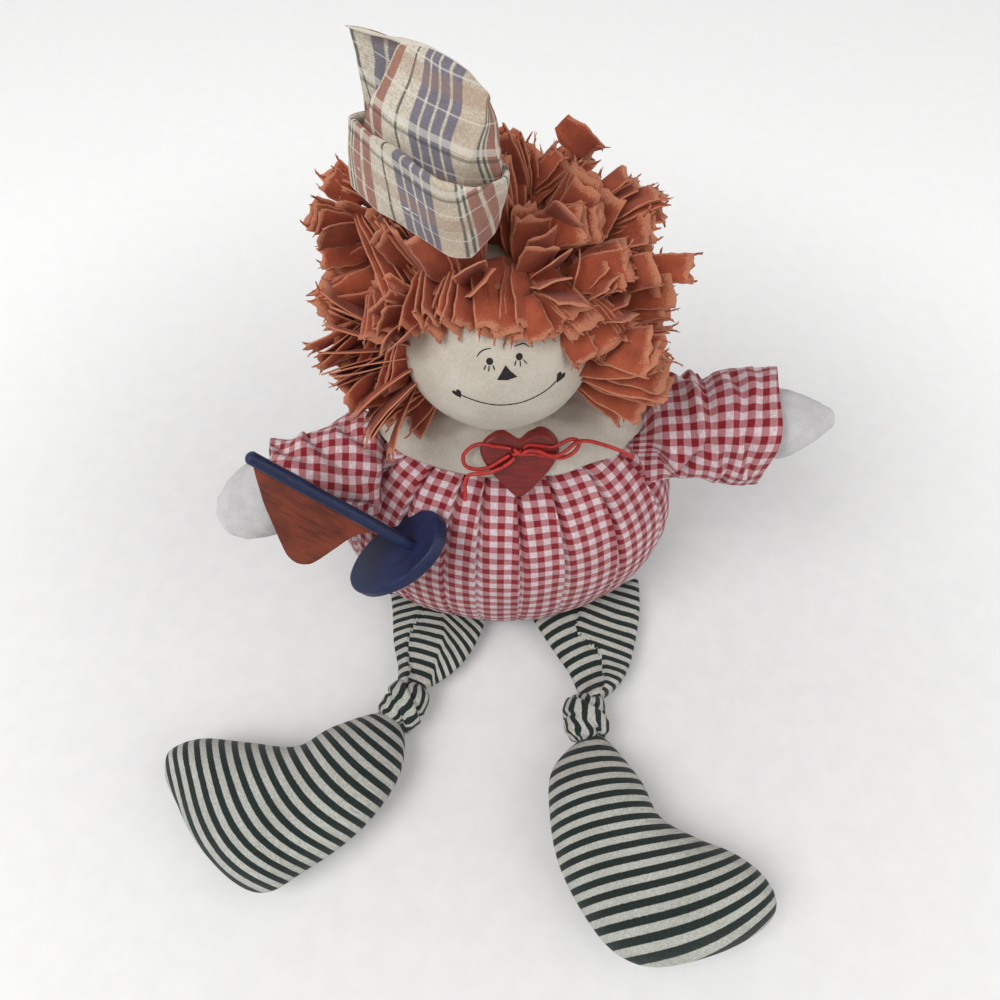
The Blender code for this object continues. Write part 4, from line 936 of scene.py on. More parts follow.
def make_head():
    """Stuffed muslin head, drawn in at the neck."""
    rows, columns = 70, 110
    where = np.linspace(0.25, 6.75, rows)[:, None]
    turn = np.linspace(-math.pi, math.pi, columns, endpoint=False)[None, :]
    high = spline(HEAD_HEIGHTS, where)
    wide = spline(HEAD_WIDTHS, where, True) * 0.985
    ball = np.stack((HEAD_RADIUS * wide * np.sin(turn), -HEAD_DEPTH * wide * np.cos(turn),
                     HEAD_RADIUS * high + 0 * turn), -1)
    points = ball @ HEAD_ROLL.T + HEAD_CENTRE
    normals = row_normals(points)
    normals *= np.sign((normals * (points - HEAD_CENTRE)).sum(2, keepdims=True))
    push = -0.0008 * dart_depth(points)
    for row in range(rows):
        for column in range(columns):
            push[row, column] += 0.0004 * lump(points[row, column], 0.014, 6.0)
    push += 0.00035 * np.sin(turn * 19) * smooth(1.7, 0.4, where)
    points = points + normals * push[..., None]
    verts, faces, corners = skin(points, True, (True, True), *lay_uv(points))
    head = add_mesh("stuffed_head", verts, faces, FACE, uvs={"cloth": corners})
    dress(head, "head", "head")
    return BVHTree.FromPolygons([tuple(place) for place in verts], faces)


def on_face(tree, direction, lift=0.00012):
    """Place just over the head's cloth in a direction from its centre, with the surface normal."""
    centre = Vector(HEAD_CENTRE)
    place, normal, _, _ = tree.ray_cast(centre, Vector(direction), 0.08)
    if normal.dot(place - centre) < 0:
        normal = -normal
    return place + normal * lift, normal


def add_stroke(tree, marks, width, verts, faces, taper=True):
    """Flat ink stroke over the head through marks given as angles."""
    path = fine_route([Vector(look(*mark)) for mark in marks], 5)
    rows = []
    for index, direction in enumerate(path):
        ahead = (path[min(index + 1, len(path) - 1)] - path[max(index - 1, 0)]).normalized()
        place, normal = on_face(tree, direction)
        side = normal.cross(ahead).normalized()
        share = index / (len(path) - 1)
        thin = 1.0 if not taper else 0.55 + 0.45 * math.sin(math.pi * share)
        half = width / 2 * thin * (1.0 + 0.12 * math.sin(index * 2.3))
        rows.append((on_face(tree, place + side * half - Vector(HEAD_CENTRE))[0],
                     on_face(tree, place - side * half - Vector(HEAD_CENTRE))[0]))
    start = len(verts)
    for left, right in rows:
        verts += [left, right]
    for index in range(len(rows) - 1):
        corner = start + index * 2
        faces.append((corner, corner + 1, corner + 3, corner + 2))


def add_patch(tree, marks, verts, faces):
    """Filled ink patch over the head, bounded by marks given as angles."""
    directions = [Vector(look(*mark)) for mark in marks]
    middle = sum(directions, Vector()) / len(directions)
    start = len(verts)
    verts.append(on_face(tree, middle)[0])
    rings = (0.5, 1.0)
    for ring in rings:
        verts += [on_face(tree, middle + (direction - middle) * ring)[0] for direction in directions]
    count = len(directions)
    for index in range(count):
        follow = (index + 1) % count
        faces.append((start, start + 1 + index, start + 1 + follow))
        faces.append((start + 1 + index, start + 1 + count + index,
                      start + 1 + count + follow, start + 1 + follow))


def dot_marks(turn, rise, radius, count=12):
    """Marks round a drawn dot."""
    return [(turn + radius * 1.12 * math.cos(2 * math.pi * step / count),
             rise + radius * math.sin(2 * math.pi * step / count)) for step in range(count)]


def heart_marks(turn, rise, size, lean):
    """Marks round a small drawn heart."""
    shape = ((0, -1.0), (0.55, -0.3), (0.85, 0.25), (0.7, 0.75), (0.3, 0.8), (0, 0.45),
             (-0.3, 0.8), (-0.7, 0.75), (-0.85, 0.25), (-0.55, -0.3))
    lean = math.radians(lean)
    return [(turn + size * (x * math.cos(lean) - y * math.sin(lean)) * 1.1,
             rise + size * (x * math.sin(lean) + y * math.cos(lean))) for x, y in shape]


def make_face(tree):
    """Ink eyes with lashes, brows, a small nose and a thin smile that ends in two small hearts."""
    verts, faces = [], []
    add_patch(tree, dot_marks(-5.4, 29.8, 2.0), verts, faces)
    add_patch(tree, dot_marks(13.1, 31.6, 2.0), verts, faces)
    lashes = (((-7.6, 27.6), (-8.5, 24.7)), ((-5.6, 27.4), (-5.7, 24.0)), ((-3.4, 27.8), (-2.1, 25.2)),
              ((10.8, 29.9), (9.7, 27.1)), ((13.3, 29.4), (13.2, 26.2)), ((15.4, 29.7), (17.3, 27.0)))
    for start, end in lashes:
        add_stroke(tree, (start, end), INK_WIDTH, verts, faces)
    brows = (((-13.6, 31.5), (-12.0, 33.9), (-9.1, 35.8), (-4.8, 36.8)),
             ((10.7, 37.4), (14.0, 37.8), (17.4, 37.9), (20.9, 35.4)))
    for marks in brows:
        add_stroke(tree, marks, INK_WIDTH, verts, faces)
    smile = ((-22.9, 7.2), (-16.9, 5.5), (-10.1, 3.9), (-2.1, 2.8), (6.3, 2.9), (14.9, 3.7), (21.7, 5.3),
             (28.4, 7.6), (34.2, 11.2))
    add_stroke(tree, smile, SMILE_WIDTH, verts, faces, False)
    nose = ((4.2, 27.9), (7.0, 24.6), (10.9, 20.9), (5.0, 19.4), (-0.8, 19.6), (1.6, 23.7))
    add_patch(tree, nose, verts, faces)
    add_patch(tree, heart_marks(-23.2, 6.9, 3.1, 35), verts, faces)
    add_patch(tree, heart_marks(36.8, 12.4, 3.5, -40), verts, faces)
    marks = add_mesh("drawn_face", verts, faces, INK)
    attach(marks, "head")


make_face(make_head())


# Sleeves and mitten hands

SHOULDERS = {"left": (0.0560, 0.0040, 0.1020), "right": (-0.0520, -0.0030, 0.0980)}
CUFFS = {"left": (0.1120, 0.0060, 0.1110), "right": (-0.0940, -0.0205, 0.1005)}
HAND_TIPS = {"left": (0.1412, 0.0080, 0.1130), "right": (-0.1190, -0.0300, 0.0885)}
SLEEVE_PLACES = (-0.55, -0.35, -0.15, 0.05, 0.25, 0.5, 0.75, 0.93, 1.0)
SLEEVE_RADII = {"left": (0.0070, 0.0130, 0.0185, 0.0205, 0.0215, 0.0225, 0.0240, 0.0244, 0.0240),
                "right": (0.0070, 0.0130, 0.0180, 0.0205, 0.0215, 0.0225, 0.0238, 0.0242, 0.0236)}
SLEEVE_FOLDS = {
    "left": ((((0.56, -95), (0.53, -36), (0.555, 3), (0.47, 18), (0.30, 48)), 3.6, 2.6, 3.2),
             (((0.72, -60), (0.77, -27), (0.73, -3), (0.80, 22), (0.84, 50)), 2.2, 2.2, 1.6),
             (((0.36, -100), (0.40, -75), (0.50, -52)), 1.8, 2.2, 1.6),
             (((0.86, -70), (0.88, -40), (0.86, -15)), 1.0, 2.2, 1.0),
             (((0.62, 30), (0.66, 50), (0.62, 75)), 1.8, 2.6, 1.4),
             (((0.30, 10), (0.36, 30), (0.30, 60)), 0.8, 3.0, 0.8)),
    "right": ((((0.02, 55), (0.25, 22), (0.50, -14), (0.62, -50)), 3.0, 3.0, 2.4),
              (((0.22, 66), (0.50, 36), (0.78, 10), (0.98, -6)), 2.6, 2.8, 2.2),
              (((-0.05, 20), (0.12, -10), (0.30, -48)), 2.2, 2.6, 1.8),
              (((0.50, 70), (0.75, 55), (0.98, 42)), 1.8, 2.6, 1.4),
              (((0.68, -18), (0.85, -36), (0.98, -64)), 1.8, 2.6, 1.4))}
ARMHOLES = {"left": 0.11, "right": 0.02}
SLEEVE_BULGES = {
    "left": ((-88, 34, 0.34, 0.22, 4.2), (-88, 30, 0.72, 0.14, 1.2), (88, 34, 0.36, 0.26, -3.6)),
    "right": ((-85, 40, 0.10, 0.20, 3.5), (-88, 46, 0.52, 0.20, -2.6), (-88, 48, 0.84, 0.22, -6.2))}
SLEEVE_RADIUS, SLEEVE_FULLNESS, SLEEVE_THICKNESS = 0.0225, 1.16, 0.0008
CUFF_LEANS = {"left": -0.0055, "right": 0.0015}
CUFF_WAVES = {"left": (0.0008, 0.6), "right": (0.0012, 2.2)}
SLEEVE_TWIST = {"left": math.radians(4), "right": math.radians(-20)}


def limb_frame(start, end):
    """Direction of a limb, the side of it that faces the front and above, and the side below that."""
    start, end = np.array(start), np.array(end)
    along = (end - start) / np.linalg.norm(end - start)
    front = EYE - (start + end) / 2
    front = front - along * (front @ along)
    front = front / np.linalg.norm(front)
    down = np.cross(along, front)
    if down[2] > 0:
        down = -down
    return along, front, down


def fold_push(place, turn, folds, length, radius):
    """Depth of the folds at a share of the length and an angle; each has a valley and a lip beside it."""
    push = np.zeros(np.broadcast(place, turn).shape)
    x = place * length
    y = turn * radius
    for marks, depth, width, lip in folds:
        points = np.array([(share * length, math.radians(angle) * radius) for share, angle in marks])
        best = np.full(push.shape, 1.0)
        signed = np.zeros(push.shape)
        for near, far in zip(points, points[1:]):
            run = far - near
            share = np.clip(((x - near[0]) * run[0] + (y - near[1]) * run[1]) / (run @ run), 0.0, 1.0)
            off_x = x - near[0] - share * run[0]
            off_y = y - near[1] - share * run[1]
            away = np.hypot(off_x, off_y)
            side = np.sign(run[0] * off_y - run[1] * off_x)
            signed = np.where(away < best, side * away, signed)
            best = np.minimum(best, away)
        wide = width * MM
        push -= depth * MM * np.exp(-(best / wide) ** 2)
        push += lip * MM * np.exp(-((signed - 1.35 * wide) / (1.1 * wide)) ** 2)
    return push


def make_sleeve(side):
    """Gingham sleeve, gathered under the collar, crumpled in folds, with a turned hem at the wrist."""
    shoulder, cuff = np.array(SHOULDERS[side]), np.array(CUFFS[side])
    along, front, down = limb_frame(shoulder, cuff)
    length = np.linalg.norm(cuff - shoulder)
    rows, columns = 84, 150
    place = np.concatenate((np.linspace(-0.5, 0.93, rows - 10), np.linspace(0.94, 1.0, 10)))[:, None]
    turn = np.linspace(-math.pi, math.pi, columns, endpoint=False)[None, :]
    radius = np.interp(place, SLEEVE_PLACES, SLEEVE_RADII[side])
    radius = radius + 0 * turn
    push = fold_push(place, turn, SLEEVE_FOLDS[side], length, 0.0225)
    fade = smooth(-0.3, 0.1, place)
    gather = 0.0008 * np.sin(turn * 13 + 2.0 * np.sin(turn * 2)) * np.exp(-np.clip(place, 0, 1) / 0.2)
    size, phase = CUFF_WAVES[side]
    wave = size * np.sin(turn * 5 + phase) * smooth(0.6, 1.0, place)
    hem = -0.0004 * np.exp(-((place - 0.93) / 0.012) ** 2)
    radius = radius + push * fade + gather + wave + hem
    degrees = np.degrees(turn)
    armhole = ARMHOLES[side] + 0.17 * smooth(-60.0, 90.0, degrees)
    under = smooth(armhole + 0.05, armhole - 0.08, place)
    under = under * smooth(-100.0, -70.0, degrees) * smooth(105.0, 45.0, degrees)
    radius = radius * (1 - 0.55 * under)
    for angle, wide, share, run, height in SLEEVE_BULGES[side]:
        near = ((degrees - angle) / wide) ** 2 + ((place - share) / run) ** 2
        radius = radius + height * MM * np.exp(-near)
    centre = shoulder + along * (place * length)[..., None]
    points = centre + radius[..., None] * (np.cos(turn)[..., None] * front + np.sin(turn)[..., None] * down)
    for row in range(rows):
        for column in range(columns):
            spot = points[row, column]
            soft = 0.0012 * lump(spot, 0.016, 13.0) + 0.0005 * lump(spot, 0.007, 17.0)
            points[row, column] += soft * (np.cos(turn[0, column]) * front + np.sin(turn[0, column]) * down)
    edge = 0.0012 * np.sin(turn * 3 + phase) * smooth(0.8, 1.0, place)
    edge = edge + CUFF_LEANS[side] * np.sin(turn) * smooth(0.45, 1.0, place)
    points = points + along * edge[..., None]
    around = np.linspace(-math.pi, math.pi, columns + 1)[None, :] * SLEEVE_RADIUS
    length_map = place * length * SLEEVE_FULLNESS
    plain = np.stack((around + 0 * length_map, length_map + 0 * around), -1)
    twist = SLEEVE_TWIST[side]
    u = plain[..., 0] * math.cos(twist) - plain[..., 1] * math.sin(twist) + 0.3
    v = plain[..., 0] * math.sin(twist) + plain[..., 1] * math.cos(twist) + 0.3
    verts, faces, corners = skin(points, True, (False, False), np.stack((u, v), -1))
    sleeve = add_mesh("sleeve_cloth_" + side, verts, faces, GINGHAM, uvs={"cloth": corners})
    solidify(sleeve, SLEEVE_THICKNESS)
    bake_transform(sleeve)
    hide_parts("sleeve_" + side)


HAND_STARTS = {"left": -0.55, "right": -0.86}
HAND_PROFILES = {
    "left": ((-0.62, 0.0092), (-0.30, 0.0094), (-0.10, 0.0125), (0.0, 0.0144), (0.15, 0.0150),
             (0.35, 0.0137), (0.60, 0.0105), (0.80, 0.0072), (0.93, 0.0044), (1.0, 0.0)),
    "right": ((-0.62, 0.0092), (-0.30, 0.0098), (-0.10, 0.0135), (0.0, 0.0152), (0.15, 0.0158),
              (0.35, 0.0156), (0.60, 0.0140), (0.80, 0.0112), (0.93, 0.0072), (1.0, 0.0))}


def make_hand(side):
    """Muslin arm that ends in a stuffed mitten with a seam round its edge."""
    shoulder, cuff, tip = (np.array(places[side]) for places in (SHOULDERS, CUFFS, HAND_TIPS))
    _, front, down = limb_frame(cuff, tip)
    rows, columns = 60, 60
    hidden = np.linspace(HAND_STARTS[side], -0.05, 16)
    tapered = 1 - 0.2 * np.linspace(0.95, 0.02, 18)
    place = np.concatenate((hidden, np.linspace(0.0, 0.8, 26), tapered))[:, None]
    turn = np.linspace(-math.pi, math.pi, columns, endpoint=False)[None, :]
    shares = [share for share, _ in HAND_PROFILES[side]]
    sizes = [size for _, size in HAND_PROFILES[side]]
    radius = np.interp(place, shares, sizes)
    rounded = sizes[-2] * np.sqrt(np.clip(1 - ((place - 0.93) / 0.07) ** 2, 0, 1))
    radius = np.where(place > 0.93, rounded, radius)
    centre = np.where(place[..., None] < 0, cuff + (cuff - shoulder) * (place / 0.95)[..., None],
                      cuff + (tip - cuff) * place[..., None])
    flat = 1.0 - 0.22 * smooth(-0.1, 0.8, place)
    seam = 0.0003 * np.exp(-((np.abs(turn) - math.pi / 2) / 0.10) ** 2) - 0.0005 * np.exp(
        -((np.abs(turn) - math.pi / 2 + 0.16) / 0.08) ** 2)
    seam = seam * smooth(-0.05, 0.1, place)
    points = centre + ((radius + seam) * np.cos(turn) * flat)[..., None] * front
    points = points + ((radius + seam) * np.sin(turn))[..., None] * down
    for row in range(rows):
        for column in range(columns):
            away = points[row, column] - centre[row, 0]
            spot = points[row, column]
            soft = 1.0 + 0.05 * lump(spot, 0.012, 31.0) + 0.025 * lump(spot, 0.005, 35.0)
            points[row, column] = centre[row, 0] + away * soft
    verts, faces, corners = skin(points, True, (True, True), *lay_uv(points))
    hand = add_mesh("mitten_" + side, verts, faces, MITTEN, uvs={"cloth": corners})
    dress(hand, "arm_%s_body" % side, "arm_" + side)


for side_made in ("left", "right"):
    make_sleeve(side_made)
    make_hand(side_made)


# Lower legs: boot shapes of ticking, striped as they are cut

KNEES = {"left": (0.0385, -0.0895), "right": (-0.0470, -0.0830)}
BOOT_TURNS = {"left": math.radians(-83), "right": math.radians(-125)}
BOOT_MIRRORS = {"left": 1.0, "right": -1.0}
BOOT_LENGTH = 0.099
BOOT_MIDDLE = (0.64, 0.10)
BOOT_HALF_THICKNESS = 0.0162

# Shares of the boot's length, from the knee
BOOT_OUTLINES = {
    "left": ((0.096, 0.062), (0.312, 0.184), (0.475, 0.233), (0.576, 0.365), (0.658, 0.513), (0.76, 0.609),
             (0.863, 0.624), (0.938, 0.54), (0.996, 0.347), (1.013, 0.1), (0.957, -0.048), (0.831, -0.146),
             (0.62, -0.229), (0.426, -0.24), (0.227, -0.2), (0.104, -0.05)),
    "right": ((0.096, 0.062), (0.281, 0.192), (0.44, 0.261), (0.553, 0.45), (0.664, 0.64), (0.788, 0.715),
              (0.874, 0.65), (0.924, 0.519), (0.98, 0.336), (0.996, 0.1), (0.946, -0.043), (0.803, -0.115),
              (0.623, -0.185), (0.441, -0.216), (0.245, -0.187), (0.08, -0.057))}

# Corner and scale of an enlarged view of the photograph, then pixels along the middle of each stripe
BOOT_MARKS = {
    "left": ((520, 570), 3.826, (
        ((120, 745), (180, 700), (290, 665), (405, 670)),
        ((110, 775), (200, 735), (320, 705), (430, 710)),
        ((108, 830), (200, 785), (330, 755), (450, 760)),
        ((112, 865), (250, 825), (390, 798), (470, 815)),
        ((115, 920), (260, 880), (400, 850), (500, 865)),
        ((120, 980), (280, 930), (430, 898), (530, 905)),
        ((130, 1035), (300, 980), (470, 945), (565, 940)),
        ((140, 1085), (320, 1030), (500, 985), (620, 975)),
        ((155, 1140), (350, 1080), (530, 1030), (680, 1005)),
        ((165, 1190), (370, 1130), (560, 1080), (740, 1025)),
        ((185, 1240), (400, 1180), (600, 1120), (800, 1045)),
        ((200, 1290), (430, 1230), (640, 1165), (860, 1075)),
        ((225, 1340), (460, 1280), (690, 1205), (915, 1095)),
        ((260, 1390), (500, 1330), (740, 1250), (955, 1130)),
        ((300, 1450), (560, 1390), (800, 1300), (975, 1180)),
        ((400, 1510), (620, 1450), (850, 1350), (985, 1235)))),
    "right": ((140, 590), 5.06, (
        ((1085, 625), (1180, 690), (1270, 760), (1350, 800)),
        ((1040, 645), (1120, 720), (1210, 800), (1345, 890)),
        ((985, 680), (1100, 800), (1200, 880), (1335, 965)),
        ((930, 715), (1040, 840), (1160, 935), (1295, 1030)),
        ((870, 750), (990, 900), (1110, 1000), (1245, 1085)),
        ((810, 780), (920, 930), (1060, 1060), (1195, 1130)),
        ((745, 795), (860, 960), (1000, 1110), (1130, 1185)),
        ((680, 795), (800, 1000), (940, 1150), (1090, 1235)),
        ((600, 780), (720, 1020), (880, 1200), (1040, 1290)),
        ((530, 765), (640, 1020), (800, 1230), (985, 1320)),
        ((465, 745), (570, 1040), (730, 1270), (930, 1360)),
        ((400, 735), (500, 1050), (660, 1310), (880, 1410)),
        ((335, 735), (430, 1060), (600, 1350), (830, 1450)),
        ((275, 740), (360, 1060), (530, 1380), (760, 1490)),
        ((215, 750), (290, 1060), (460, 1400), (690, 1525)),
        ((160, 780), (220, 1060), (390, 1380), (600, 1530))))}
BOOT_MARKS_HEIGHT = 26.0


def cubic_terms(x, y):
    """Terms of a cubic surface at x and y."""
    return 1.0 + 0 * x, x, y, x * x, x * y, y * y, x ** 3, x * x * y, x * y * y, y ** 3


def cubic(coefficients, x, y):
    """Value of a cubic surface at x and y."""
    return sum(share * term for share, term in zip(coefficients, cubic_terms(x, y)))


def boot_stripes(side):
    """Cubic surface whose whole numbers are the middles of the stripes marked in the photograph."""
    corner, scale, rows = BOOT_MARKS[side]
    turn = BOOT_TURNS[side]
    terms, numbers = [], []
    for number, row in enumerate(rows):
        for across, down in row:
            x, y = on_level(corner[0] + across / scale, corner[1] + down / scale, BOOT_MARKS_HEIGHT)
            x, y = x - KNEES[side][0] / MM, y - KNEES[side][1] / MM
            along = (x * math.cos(turn) + y * math.sin(turn)) * MM / BOOT_LENGTH
            aside = (y * math.cos(turn) - x * math.sin(turn)) * MM / BOOT_LENGTH * BOOT_MIRRORS[side]
            terms.append(cubic_terms(along, aside))
            numbers.append(number)
    return np.round(np.linalg.lstsq(np.array(terms), np.array(numbers, float), rcond=None)[0], 3)


def edge_distance(points, outline):
    """Distance of each point of the plane from a closed outline."""
    best = np.full(points.shape[:-1], 1.0)
    for start, end in zip(outline, np.roll(outline, -1, 0)):
        run = end - start
        share = np.clip(((points - start) @ run) / (run @ run), 0.0, 1.0)
        away = points - start - share[..., None] * run
        best = np.minimum(best, np.hypot(away[..., 0], away[..., 1]))
    return best


def make_boot(side):
    """Stuffed lower leg: two cut shapes sewn edge to edge, flatter underneath where it lies."""
    outline = np.array([tuple(place)[:2] for place in outline_curve(
        [(along * BOOT_LENGTH, away * BOOT_LENGTH, 0.0) for along, away in BOOT_OUTLINES[side]], 12)])
    middle = np.array(BOOT_MIDDLE) * BOOT_LENGTH
    rings = np.sin(np.linspace(0.04, 1.0, 26) * math.pi / 2)[:, None, None]
    flat = middle + (outline[None] - middle) * rings
    depth = edge_distance(flat, outline)
    along = flat[..., 0] / BOOT_LENGTH
    full = smooth(0.02, 0.42, along)
    reach = 0.0075 + 0.0115 * full
    half = BOOT_HALF_THICKNESS * (0.44 + 0.56 * full)
    share = np.clip(depth / reach, 0.0, 1.0)
    rise = half * (1 - (1 - share) ** 2.0) ** 0.56
    high = 0.0112 + 0.0045 * full
    crease = np.exp(-(depth - 0.0012) ** 2 / 0.0007 ** 2) * 0.0004
    turn = BOOT_TURNS[side]
    mirror = BOOT_MIRRORS[side]
    knee = np.array(KNEES[side])
    layers = []
    spin = np.array(((math.cos(turn), -math.sin(turn)), (math.sin(turn), math.cos(turn))))
    plan = (flat * np.array((1.0, mirror))) @ spin.T + knee
    for sign in (1.0, -1.0):
        z = high + sign * (rise - crease)
        if sign < 0:
            z = np.where(z < 0.0006, 0.0006 - (0.0006 - z) * 0.12, z)
        layers.append(np.concatenate((plan, z[..., None]), -1))
    upper, lower = layers
    points = np.concatenate((upper, lower[::-1][1:]), 0)
    for row in range(points.shape[0]):
        for column in range(points.shape[1]):
            place = points[row, column]
            soft = 0.0005 * lump(place, 0.018, 41.0) + 0.00025 * lump(place, 0.006, 45.0)
            near = math.hypot(place[0] - knee[0], place[1] - knee[1])
            soft += 0.0009 * lump((place[0] * 1.6, place[1], place[2]), 0.005, 47.0) * math.exp(-near / 0.014)
            points[row, column, 2] = max(place[2] + soft, 0.0002)
    local = (points[..., :2] - knee) @ spin / BOOT_LENGTH
    x, y = local[..., 0], local[..., 1] * mirror
    stripes = boot_stripes(side)
    slope = np.stack((cubic(stripes, x + 0.01, y) - cubic(stripes, x - 0.01, y),
                      cubic(stripes, x, y + 0.01) - cubic(stripes, x, y - 0.01)), -1)
    slope /= np.linalg.norm(slope, axis=-1, keepdims=True) + 1e-9
    outward = (outline - middle) / np.linalg.norm(outline - middle, axis=1, keepdims=True)
    below = np.clip(high.mean() - points[..., 2], 0.0, None)
    v = (cubic(stripes, x, y) + 0.5) * STRIPE_PITCH + (slope * outward[None]).sum(-1) * below * 1.1
    u = local[..., 1] * BOOT_LENGTH + points[..., 2]
    near_uv = np.stack((u, v), -1)
    far_uv = np.roll(near_uv, -1, 1)
    verts, faces, corners = skin(points, True, (True, True), near_uv, far_uv)
    boot = add_mesh("boot_" + side, verts, faces, TICKING, uvs={"cloth": corners})
    dress(boot, "boot_%s_body" % side, "lower_leg_" + side)


for side_made in ("left", "right"):
    make_boot(side_made)


# Thighs: limp ticking tubes, folded where they run in to the knots, and the knots

HIPS = {"left": (0.0450, -0.0280), "right": (-0.0345, -0.0320)}
HIP_TURNS = {"left": math.radians(25), "right": math.radians(-17)}
THIGH_WIDTHS = {"left": 0.0285, "right": 0.0265}

# Millimetres on the table, from the hip to the knot
THIGH_FOLDS = {
    "left": ((39.6, -31.1), (38.5, -38.2), (36.4, -44.4), (41.8, -51.2), (47.7, -56.0), (49.4, -62.5),
             (48.5, -74.0), (45.2, -80.8)),
    "right": ((-41.6, -30.4), (-42.6, -37.4), (-45.4, -43.0), (-47.0, -49.0), (-47.1, -55.5),
              (-46.3, -62.9), (-44.8, -66.5), (-45.5, -74.0))}

# Corner and scale of an enlarged view of the photograph, then pixels by number of the stripe in each layer
THIGH_MARKS = {
    "left": ((525, 570), 8.71, {
        "inner": {
            0: ((130, 500), (230, 430), (340, 375), (460, 385)),
            1: ((180, 590), (270, 520), (340, 460), (430, 470)),
            2: ((245, 670), (330, 600), (400, 545), (440, 530)),
            3: ((325, 740), (400, 680), (460, 635)),
            4: ((390, 810), (450, 760), (510, 730), (560, 720), (640, 740)),
            5: ((430, 905), (500, 850), (570, 800), (620, 800), (680, 820)),
            6: ((470, 1000), (530, 950), (580, 905), (640, 900), (690, 930)),
            7: ((510, 1090), (560, 1050), (590, 990), (640, 985), (690, 1010))},
        "outer": {
            -5: ((870, 85), (960, 75), (990, 75)),
            -4: ((800, 130), (900, 135), (1000, 150)),
            -3: ((720, 180), (850, 190), (1000, 235)),
            -2: ((640, 235), (780, 245), (900, 295), (1000, 320)),
            -1: ((620, 290), (740, 330), (850, 380), (1000, 405)),
            0: ((480, 345), (600, 365), (720, 410), (800, 450), (900, 480), (990, 490)),
            1: ((470, 445), (560, 460), (700, 510), (800, 550), (970, 565)),
            2: ((440, 520), (530, 525), (620, 570), (760, 635), (960, 650)),
            3: ((560, 600), (640, 650), (720, 715), (930, 735)),
            4: ((690, 800), (800, 805), (920, 825)),
            5: ((700, 880), (800, 890), (900, 905)),
            6: ((700, 945), (780, 950), (870, 985)),
            7: ((700, 985), (760, 1000), (830, 1050)),
            8: ((690, 1045), (740, 1060), (780, 1090))}}),
    "right": ((370, 585), 9.8, {
        "inner": {
            -2: ((800, 290), (900, 340), (990, 400), (1105, 460)),
            -1: ((650, 270), (780, 310), (880, 360), (960, 470), (1035, 555)),
            0: ((470, 330), (560, 300), (680, 330), (780, 380), (870, 480), (930, 560), (970, 630)),
            1: ((440, 380), (550, 370), (660, 410), (760, 460), (820, 540), (870, 630), (905, 700)),
            2: ((415, 440), (520, 445), (640, 480), (730, 520), (770, 600), (810, 700), (850, 775)),
            3: ((395, 520), (500, 545), (600, 580), (680, 590), (710, 680), (740, 760), (775, 840)),
            4: ((385, 620), (500, 645), (600, 680), (650, 700), (665, 790), (700, 880)),
            5: ((385, 740), (480, 760), (580, 800), (630, 820), (660, 880)),
            6: ((400, 830), (480, 840), (560, 880), (600, 910))},
        "outer": {
            0: ((235, 250), (350, 245), (480, 240)),
            1: ((235, 360), (330, 355), (450, 330)),
            2: ((225, 435), (320, 405), (430, 395)),
            3: ((225, 525), (300, 490), (390, 465)),
            4: ((240, 640), (300, 590), (370, 560)),
            5: ((285, 720), (330, 690), (365, 665)),
            6: ((300, 815), (340, 805), (380, 780))}})}
THIGH_MARKS_HEIGHT = 13.0

# Pixels where the right thigh's inner layer is bent, and how far each side's marks go past them
BEND_MARKS = ((640, 200), (720, 330), (745, 470), (700, 600), (655, 720), (630, 850), (600, 960))
BEND_OVERLAP = 15
THIGH_SCALE = 50.0
THIGH_LIFT, THIGH_HALF_THICKNESS = 0.0088, 0.0042

# Millimetres on the table: the same bend, and the two edges of each thigh
BENT_FROM = ((-31.1, -30.0), (-31.1, -38.0), (-29.0, -49.0), (-32.1, -59.7), (-33.3, -67.5), (-35.0, -76.0))
THIGH_EDGES = {
    "left": (((15.7, -39.0), (22.0, -50.0), (27.5, -59.0), (32.4, -66.4), (34.9, -73.0), (36.4, -78.5),
              (37.4, -83.5)),
             ((71.6, -16.0), (71.5, -29.0), (68.6, -43.0), (65.0, -56.0), (61.0, -67.0), (54.5, -75.5),
              (45.0, -81.0))),
    "right": (((-58.6, -24.0), (-56.6, -34.0), (-55.6, -46.0), (-54.2, -55.0), (-51.4, -63.0),
               (-50.8, -70.0), (-51.4, -76.0)),
              ((-9.2, -40.0), (-12.6, -50.0), (-18.0, -59.5), (-24.5, -66.5), (-31.2, -71.5),
               (-37.0, -74.6), (-42.0, -77.0)))}


def line_distance(points, marks):
    """Distance in the plane from a line of marks, with its sign."""
    marks = np.array(marks) * MM
    best = np.full(points.shape[:-1], 1.0)
    signed = np.zeros(points.shape[:-1])
    for near, far in zip(marks, marks[1:]):
        run = far - near
        share = np.clip(((points - near) @ run) / (run @ run), 0.0, 1.0)
        away = points - near - share[..., None] * run
        size = np.hypot(away[..., 0], away[..., 1])
        side = np.sign(run[0] * (points[..., 1] - near[1]) - run[1] * (points[..., 0] - near[0]))
        signed = np.where(size < best, side * size, signed)
        best = np.minimum(best, size)
    return signed


def fit_thigh(side, rows, calm, keep=None):
    """Surface whose whole numbers are the middles of the marked stripes. calm holds each term back."""
    corner, scale, _ = THIGH_MARKS[side]
    hip = HIPS[side]
    terms, numbers = [], []
    for number, marks in rows.items():
        for across, down in marks:
            if keep is None or keep(across, down):
                x, y = on_level(corner[0] + across / scale, corner[1] + down / scale, THIGH_MARKS_HEIGHT)
                x, y = (x - hip[0] / MM) / THIGH_SCALE, (y - hip[1] / MM) / THIGH_SCALE
                terms.append(cubic_terms(x, y)[:len(calm)])
                numbers.append(number)
    terms, numbers = np.array(terms), np.array(numbers, float)
    return np.round(np.linalg.solve(terms.T @ terms + np.diag(calm), terms.T @ numbers), 3)


